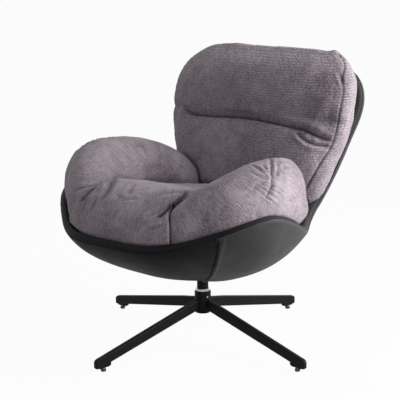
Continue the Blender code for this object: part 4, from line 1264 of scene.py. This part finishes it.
block = new_object("block", block_form(SHELL_ROOM))
block_tree = tree_of(block)
arm_raw = {side: new_object(f"arm_raw_{side}", arm_form(side, -ARM_INSET)) for side in (1, -1)}
arm_cutter = {side: new_object(f"arm_cutter_{side}", arm_form(side, SPREAD)) for side in (1, -1)}
for side in (1, -1):
    for piece, across in ((arm_raw[side], 0.0), (arm_cutter[side], SPREAD)):
        wedge = seam_block("wedge", side, (across, 1), (-0.5, 0.5))
        cut(piece, wedge)
        drop(wedge)
    cut(arm_raw[side], block)
seat_raw = new_object("seat_raw", seat_form(-SEAT_INSET))
seat_cutter = new_object("seat_cutter", seat_form(SPREAD))
pocket = bmesh.new()
bmesh.ops.create_cone(
    pocket, cap_ends=True, segments=48, radius1=SEAT_POCKET_R, radius2=SEAT_POCKET_R,
    depth=SEAT_POCKET_TOP - SEAT_POCKET_LOW,
    matrix=Matrix.Translation((0, 0, 0.5 * (SEAT_POCKET_TOP + SEAT_POCKET_LOW))),
)
pocket = new_object("pocket", pocket)
back_raw = new_object("back_raw", back_form(-BACK_INSET))
for cutter in (block, pocket, arm_cutter[1], arm_cutter[-1]):
    cut(seat_raw, cutter)
for side in (1, -1):
    corner = seam_block("corner", side, (-SEAT_CORNER_CUT, SPREAD), (-0.01, 0.3))
    cut(seat_raw, corner)
    drop(corner)
for cutter in (block, arm_cutter[1], arm_cutter[-1], seat_cutter):
    cut(back_raw, cutter)

# The unswollen forms, which the photograph's lines of sight are cast on
near_arm_tree = tree_of(arm_raw[1])
far_arm_tree = tree_of(arm_raw[-1])
arm_trees = [tree_of(arm_cutter[side]) for side in (1, -1)]
seat_tree = tree_of(seat_raw)
back_tree = tree_of(back_raw)


# Where the photograph shows the seams and folds, in its own pixels. A fold has its depth and width
# after its places, and a swell, or a patch of light and shade painted on the pile, its strength and
# reach.

ARM_END_SEAM = (
    (269.5, 157.8), (271.6, 164), (271.6, 171), (272.3, 178), (271.8, 186), (268.5, 194), (263, 203),
)
ARM_FOLDS = (
    (((257, 160.5), (262, 165), (268, 171)), 0.0036, 0.0042),
    (((250, 164), (257, 168), (266, 176)), 0.0032, 0.0042),
    (((248, 172), (256, 175), (266, 180)), 0.0024, 0.0042),
    (((250, 189), (258, 185), (267, 183)), 0.0034, 0.0044),
    (((243, 194), (252, 190), (262, 188)), 0.0022, 0.0046),
    (((275, 160), (278, 167), (276, 177), (275, 185)), 0.0034, 0.0046),
    (((279, 170), (286, 166.5), (294, 168)), 0.0040, 0.0050),
    (((283, 203), (292, 199), (300, 190)), 0.0022, 0.0070),
)
ARM_SWELLS = (((303, 211), 0.0100, 0.032),)
# Patches of painted light on the near arm's lit side, and painted shade on its left
NEAR_ARM_NAP_LIGHT_AND_SHADE = (
    ((285, 190), 0.28, 0.060),
    ((287, 210), 0.22, 0.050),
    ((243, 195), 0.30, 0.045),
    ((215, 215), -0.13, 0.050),
    ((255, 213), 0.15, 0.045),
)
FAR_ARM_SWELLS = (((164, 149), -0.0120, 0.045),)
FAR_ARM_CREASE = ((109, 181.5), (97, 184), (85, 186.5), (76, 190), (70, 196))
# Painted shade in the far arm's tuck by the back, and faintly higher up
FAR_ARM_NAP_SHADE = (((165, 166), -0.22, 0.050), ((130, 142), -0.06, 0.050))
SEAT_SLIT = ((186.5, 192.8), (179, 198), (170.7, 204), (162.6, 210.6), (154.5, 217.3))
SEAT_FOLDS = (
    (((171, 202), (160, 209), (152, 214), (143, 219)), 0.0040, 0.0048),
    (((113, 180), (110, 188), (102, 199), (95, 210)), 0.0070, 0.0090),
    (((98, 196), (93, 205), (89, 216)), 0.0046, 0.0070),
    (((86, 189), (81, 195), (79, 203)), 0.0066, 0.0055),
    (((118, 209), (115, 215), (114, 220)), 0.0044, 0.0050),
    (((120, 202), (128, 200), (140, 199)), 0.0020, 0.0060),
    (((135, 185), (130, 191), (127, 197)), 0.0030, 0.0070),
    (((165, 224), (155, 228), (145, 230)), 0.0036, 0.0042),
)
# A patch of painted light on the seat
SEAT_NAP_LIGHT = (((150, 190), 0.15, 0.060),)
BACK_SIDE_SEAM = (
    (339, 54), (343.7, 60), (345, 67), (342.4, 77.8), (343.7, 91.2), (340.4, 110), (335.7, 134),
    (331, 147.5), (320.3, 163.5), (309.6, 182.3), (305.6, 190.3),
)
BACK_CHANNEL = (
    (185, 106), (188, 110), (195, 114), (209, 116), (236, 116.7), (250.7, 118.6), (272, 122.7),
    (293.5, 127.4), (304, 130), (316, 135.5), (328, 140), (335, 142),
)
BACK_LOWER_FOLD = ((294, 130), (299, 135), (306, 141), (314, 144.5), (323, 146), (333, 148))
BACK_FOLDS = (
    (((301, 134), (308, 138), (316, 141.5)), 0.0040, 0.0060),
    (((186, 104), (190, 112), (200, 119)), 0.0026, 0.0070),
    (((339, 72), (341, 79), (344, 85)), 0.0040, 0.0045),
    (((331, 50), (336, 55), (341, 58)), 0.0030, 0.0050),
    (((305, 200.5), (309, 202), (314, 203)), 0.0050, 0.0040),
    (((305, 204.5), (308, 206.5), (312, 207.5)), 0.0050, 0.0040),
)
BACK_SWELLS = (((178, 104), 0.0080, 0.050), ((238, 44), 0.0040, 0.035))
BACK_EAR = (((335, 52), 0.0070, 0.0120),)
# Patches of painted shade on the back's near side and low middle, and painted light on its far side
BACK_NAP_LIGHT_AND_SHADE = (
    ((325, 90), -0.28, 0.055),
    ((330, 118), -0.24, 0.050),
    ((200, 90), 0.15, 0.080),
    ((262, 140), -0.10, 0.060),
)

# Creases as depth, width, rise of the banks and fade at the ends, and lines of painted shade as width,
# strength and fade
ARM_SEAM_CREASE = (0.0038, 0.0050, 0.30, 0.22)
ARM_SEAM_SHADE = (0.0036, 0.48, 0.22)
FAR_ARM_CREASE_FORM = (0.0040, 0.0050, 0.30, 0.25)
FAR_ARM_CREASE_SHADE = (0.0030, 0.45, 0.25)
SLIT_DEPTH = 0.0150
SLIT_FORM = (0.0075, 0.12, 0.12)
# Painted shade in the slit between an arm and the seat, and how far it reaches on the arm's side and on
# the seat's
SLIT_PAINTED_SHADE = 0.96
SLIT_SHADE_BY_ARM = 0.0140
SLIT_SHADE_BY_SEAT = 0.0056
CHANNEL_ROLL = (0.0130, 0.0100, 0.0060)
CHANNEL_CREASE = (0.0040, 0.0040, 0.0, 0.08)
CHANNEL_GATHERS = (0.0030, 0.026, 0.020)
CHANNEL_SHADES = ((0.0044, 0.85, 0.10), (0.0300, 0.20, 0.15))
LOWER_FOLD_CREASE = (0.0080, 0.0052, 0.45, 0.22)
LOWER_FOLD_SHADE = (0.0038, 0.70, 0.30)
SIDE_SEAM_CREASE = (0.0026, 0.0034, 0.15, 0.03)
SIDE_SEAM_GATHERS = (0.0010, 0.022, 0.012)
SIDE_SEAM_SHADE = (0.0026, 0.70, 0.02)
FAR_SHARE = 0.5          # how strong the seat's folds and the back's ear are on the far side
ARM_GATHERS = {1: 0.0042, -1: 0.0016}
PATH_HEIGHT = 0.45       # of the arm's path that its cloth follows
ARM_ROWS = 0.13          # how clear the rows of tufts are
SEAT_ROWS = 0.20
ARM_SLANT = 0.7          # how much the rows lean against the cushion's length
SEAT_SLANT = 0.3
ARM_THREAD = (0.0007, -0.0002)
BACK_THREAD = (0.0008, 0.0001)

arm_end_seam = from_pixels(near_arm_tree, ARM_END_SEAM)
for side, name in ((1, "left"), (-1, "right")):
    piece = arm_raw[side]
    lines = make_cushion(
        piece, f"arm_pillow_{name}", f"arm_cushion_{name}", smoothing=7, pressure=3.2, cap=0.008,
        neighbours=[block_tree, seat_tree, back_tree],
        seams=[mirrored(arm_end_seam, side)], sides=(side,),
    )
    relief = Relief(piece, seed=3.1 + side, waves=((8.0, 0.0024), (24.0, 0.0014)))
    seam = on_surface(relief.surface, lines[0])
    relief.crease(seam, *ARM_SEAM_CREASE)
    relief.gathers(seam, ARM_GATHERS[side], pitch=0.013, reach=0.022, seed=4.3 + side)
    # Painted shade along the arm's seam
    relief.mark(seam, *ARM_SEAM_SHADE)
    relief.folds(near_arm_tree, ARM_FOLDS, rise=0.40, fade=0.35, side=side)
    relief.swell(near_arm_tree, ARM_SWELLS, side)
    if side == -1:
        relief.swell(far_arm_tree, FAR_ARM_SWELLS)
        fold = relief.cast(far_arm_tree, FAR_ARM_CREASE)
        relief.crease(fold, *FAR_ARM_CREASE_FORM)
        # Painted shade along the far arm's crease
        relief.mark(fold, *FAR_ARM_CREASE_SHADE)
    relief.paint_seam_shade(side)
    co = relief.apply()
    thread_line(f"arm_seam_{name}", piece, seam, *ARM_THREAD)
    path = np.array([[c[0] * side, c[1], PATH_HEIGHT] for c in natural_curve(ARM_STATIONS, 60)])
    flat = co.copy()
    flat[:, 2] = PATH_HEIGHT
    d, index = distances(flat, path)
    arc = np.concatenate([[0], np.cumsum(np.linalg.norm(np.diff(path, axis=0), axis=1))])
    way = np.gradient(path, axis=0)
    way /= np.linalg.norm(way, axis=1)[:, None]
    lean = ((flat - path[index]) * way[index]).sum(1)
    nap_light_and_shade = (near_arm_tree, NEAR_ARM_NAP_LIGHT_AND_SHADE) if side == 1 else (far_arm_tree, FAR_ARM_NAP_SHADE)
    relief.finish(arc[index] + lean + ARM_SLANT * co[:, 2], co[:, 2] + d, ARM_ROWS, *nap_light_and_shade)

make_cushion(
    seat_raw, "seat_pillow", "seat_cushion", smoothing=8, pressure=3.0, cap=0.006,
    neighbours=[block_tree, *arm_trees, back_tree], seams=[], sides=(1, -1),
)
relief = Relief(seat_raw, seed=7.7, waves=((7.0, 0.0036), (20.0, 0.0018)))
for side, share in ((1, 1.0), (-1, FAR_SHARE)):
    relief.folds(seat_tree, SEAT_FOLDS, rise=0.35, fade=0.30, side=side, share=share)
    slit = relief.cast(seat_tree, SEAT_SLIT, side)
    relief.crease(slit, SLIT_DEPTH * share, *SLIT_FORM)
    # Painted shade in the slit, wider on the arm's side
    d, index = distances(relief.base, slit)
    by_arm = relief.base[:, 0] * side > slit[index, 0] * side
    wide = np.where(by_arm, SLIT_SHADE_BY_ARM, SLIT_SHADE_BY_SEAT)
    relief.paint_shade(SLIT_PAINTED_SHADE * share * np.exp(-(d / wide) ** 4) * faded(slit, index, 0.11))
    relief.paint_seam_shade(side)
co = relief.apply()
relief.finish(co[:, 0] + SEAT_SLANT * co[:, 1], co[:, 1] - co[:, 2], SEAT_ROWS, seat_tree, SEAT_NAP_LIGHT)

back_side = from_pixels(back_tree, BACK_SIDE_SEAM)
lines = make_cushion(
    back_raw, "back_pillow", "back_cushion", smoothing=8, pressure=3.4, cap=0.012,
    neighbours=[block_tree, *arm_trees, seat_tree],
    seams=[back_side, mirrored(back_side, -1), from_pixels(back_tree, BACK_CHANNEL)],
)
relief = Relief(back_raw, seed=1.9, waves=((7.0, 0.0030), (20.0, 0.0015)))
channel = on_surface(relief.surface, lines[2])
relief.roll(channel, *CHANNEL_ROLL)
relief.crease(channel, *CHANNEL_CREASE)
relief.gathers(channel, *CHANNEL_GATHERS, 9.1)
# Painted shade in the channel: a narrow dark line, and a broad faint shade round it
for mark in CHANNEL_SHADES:
    relief.mark(channel, *mark)
lower_fold = relief.cast(back_tree, BACK_LOWER_FOLD)
relief.crease(lower_fold, *LOWER_FOLD_CREASE)
# Painted shade along the lower fold
relief.mark(lower_fold, *LOWER_FOLD_SHADE)
relief.folds(back_tree, BACK_FOLDS, rise=0.40, fade=0.30)
side_lines = [on_surface(relief.surface, line) for line in lines[:2]]
for seam, seed in zip(side_lines, (2.2, 5.9)):
    relief.crease(seam, *SIDE_SEAM_CREASE)
    relief.gathers(seam, *SIDE_SEAM_GATHERS, seed)
    # Painted shade along the side seams
    relief.mark(seam, *SIDE_SEAM_SHADE)
relief.swell(back_tree, BACK_SWELLS + BACK_EAR)
relief.swell(back_tree, BACK_EAR, -1, FAR_SHARE)
co = relief.apply()
for line, name in zip(side_lines, ("left", "right")):
    thread_line(f"back_side_seam_{name}", back_raw, line, *BACK_THREAD)
# The rows are clearest on the near side and towards the top
clear_rows = np.clip(0.30 + 2.2 * co[:, 0] + 0.8 * (co[:, 2] - 0.60), 0.25, 1.0)
relief.finish(co[:, 2] * 1.02, co[:, 0] + co[:, 1], clear_rows, back_tree, BACK_NAP_LIGHT_AND_SHADE)

drop(block, pocket, seat_cutter, arm_cutter[1], arm_cutter[-1])


# Stage and light

AMBIENT = 0.36
FLOOR_GREY = 0.42
FLOOR_WHITE = 0.96       # how much of the floor is plain white to the eye
FLOOR_DROP = 0.0005
WHITE = (1, 1, 1, 1)
AIM = Vector((0, 0, 0.4))


def seen_directly(tree):
    """1 for what the eye, a reflection or a clear piece sees, 0 for the light that pieces get."""
    path = tree.nodes.new("ShaderNodeLightPath")
    seen = maths(tree, "MAXIMUM", path.outputs["Is Camera Ray"], path.outputs["Is Glossy Ray"])
    return maths(tree, "MAXIMUM", seen, path.outputs["Is Transmission Ray"])


def stage_material(name):
    """Pale floor: mostly plain white to the eye, with a trace of the object's shadow."""
    mat = bpy.data.materials.new(name)
    mat.use_nodes = True
    tree = mat.node_tree
    tree.nodes.clear()
    out = tree.nodes.new("ShaderNodeOutputMaterial")
    diffuse = add(tree, "ShaderNodeBsdfDiffuse", Color=(*grey(FLOOR_GREY), 1))
    white = add(tree, "ShaderNodeEmission", Color=WHITE, Strength=1.0)
    mix = tree.nodes.new("ShaderNodeMixShader")
    tree.links.new(maths(tree, "MULTIPLY", seen_directly(tree), FLOOR_WHITE), mix.inputs[0])
    tree.links.new(diffuse.outputs[0], mix.inputs[1])
    tree.links.new(white.outputs[0], mix.inputs[2])
    tree.links.new(mix.outputs[0], out.inputs[0])
    return mat


floor = bmesh.new()
bmesh.ops.create_grid(floor, x_segments=2, y_segments=2, size=60.0)
floor = new_object("floor", floor)
floor.location.z = -FLOOR_DROP
floor.data.materials.append(stage_material("floor_white"))

scene.world = bpy.data.worlds.new("world")
scene.world.use_nodes = True
sky = scene.world.node_tree
strength = scaled(sky, seen_directly(sky), 1 - AMBIENT, AMBIENT)
feed(sky, sky.nodes["Background"], Color=WHITE, Strength=strength)


def softbox(name, right, ahead, up, size, power):
    data = bpy.data.lights.new(name, "AREA")
    data.shape = "RECTANGLE"
    data.size, data.size_y = size
    data.energy = power
    lamp = bpy.data.objects.new(name, data)
    scene.collection.objects.link(lamp)
    offset = right * RIGHT + ahead * AHEAD + up * UP
    lamp.location = AIM + offset
    lamp.rotation_euler = (-offset).to_track_quat("-Z", "Y").to_euler()


softbox("key_right", 1.8, -0.5, 0.6, (1.2, 1.5), 68)
softbox("top", 0.6, 0.3, 2.4, (2.0, 2.0), 9)
softbox("front_left", -2.0, -2.0, 1.4, (2.0, 2.0), 12)

scene.view_settings.view_transform = "Standard"
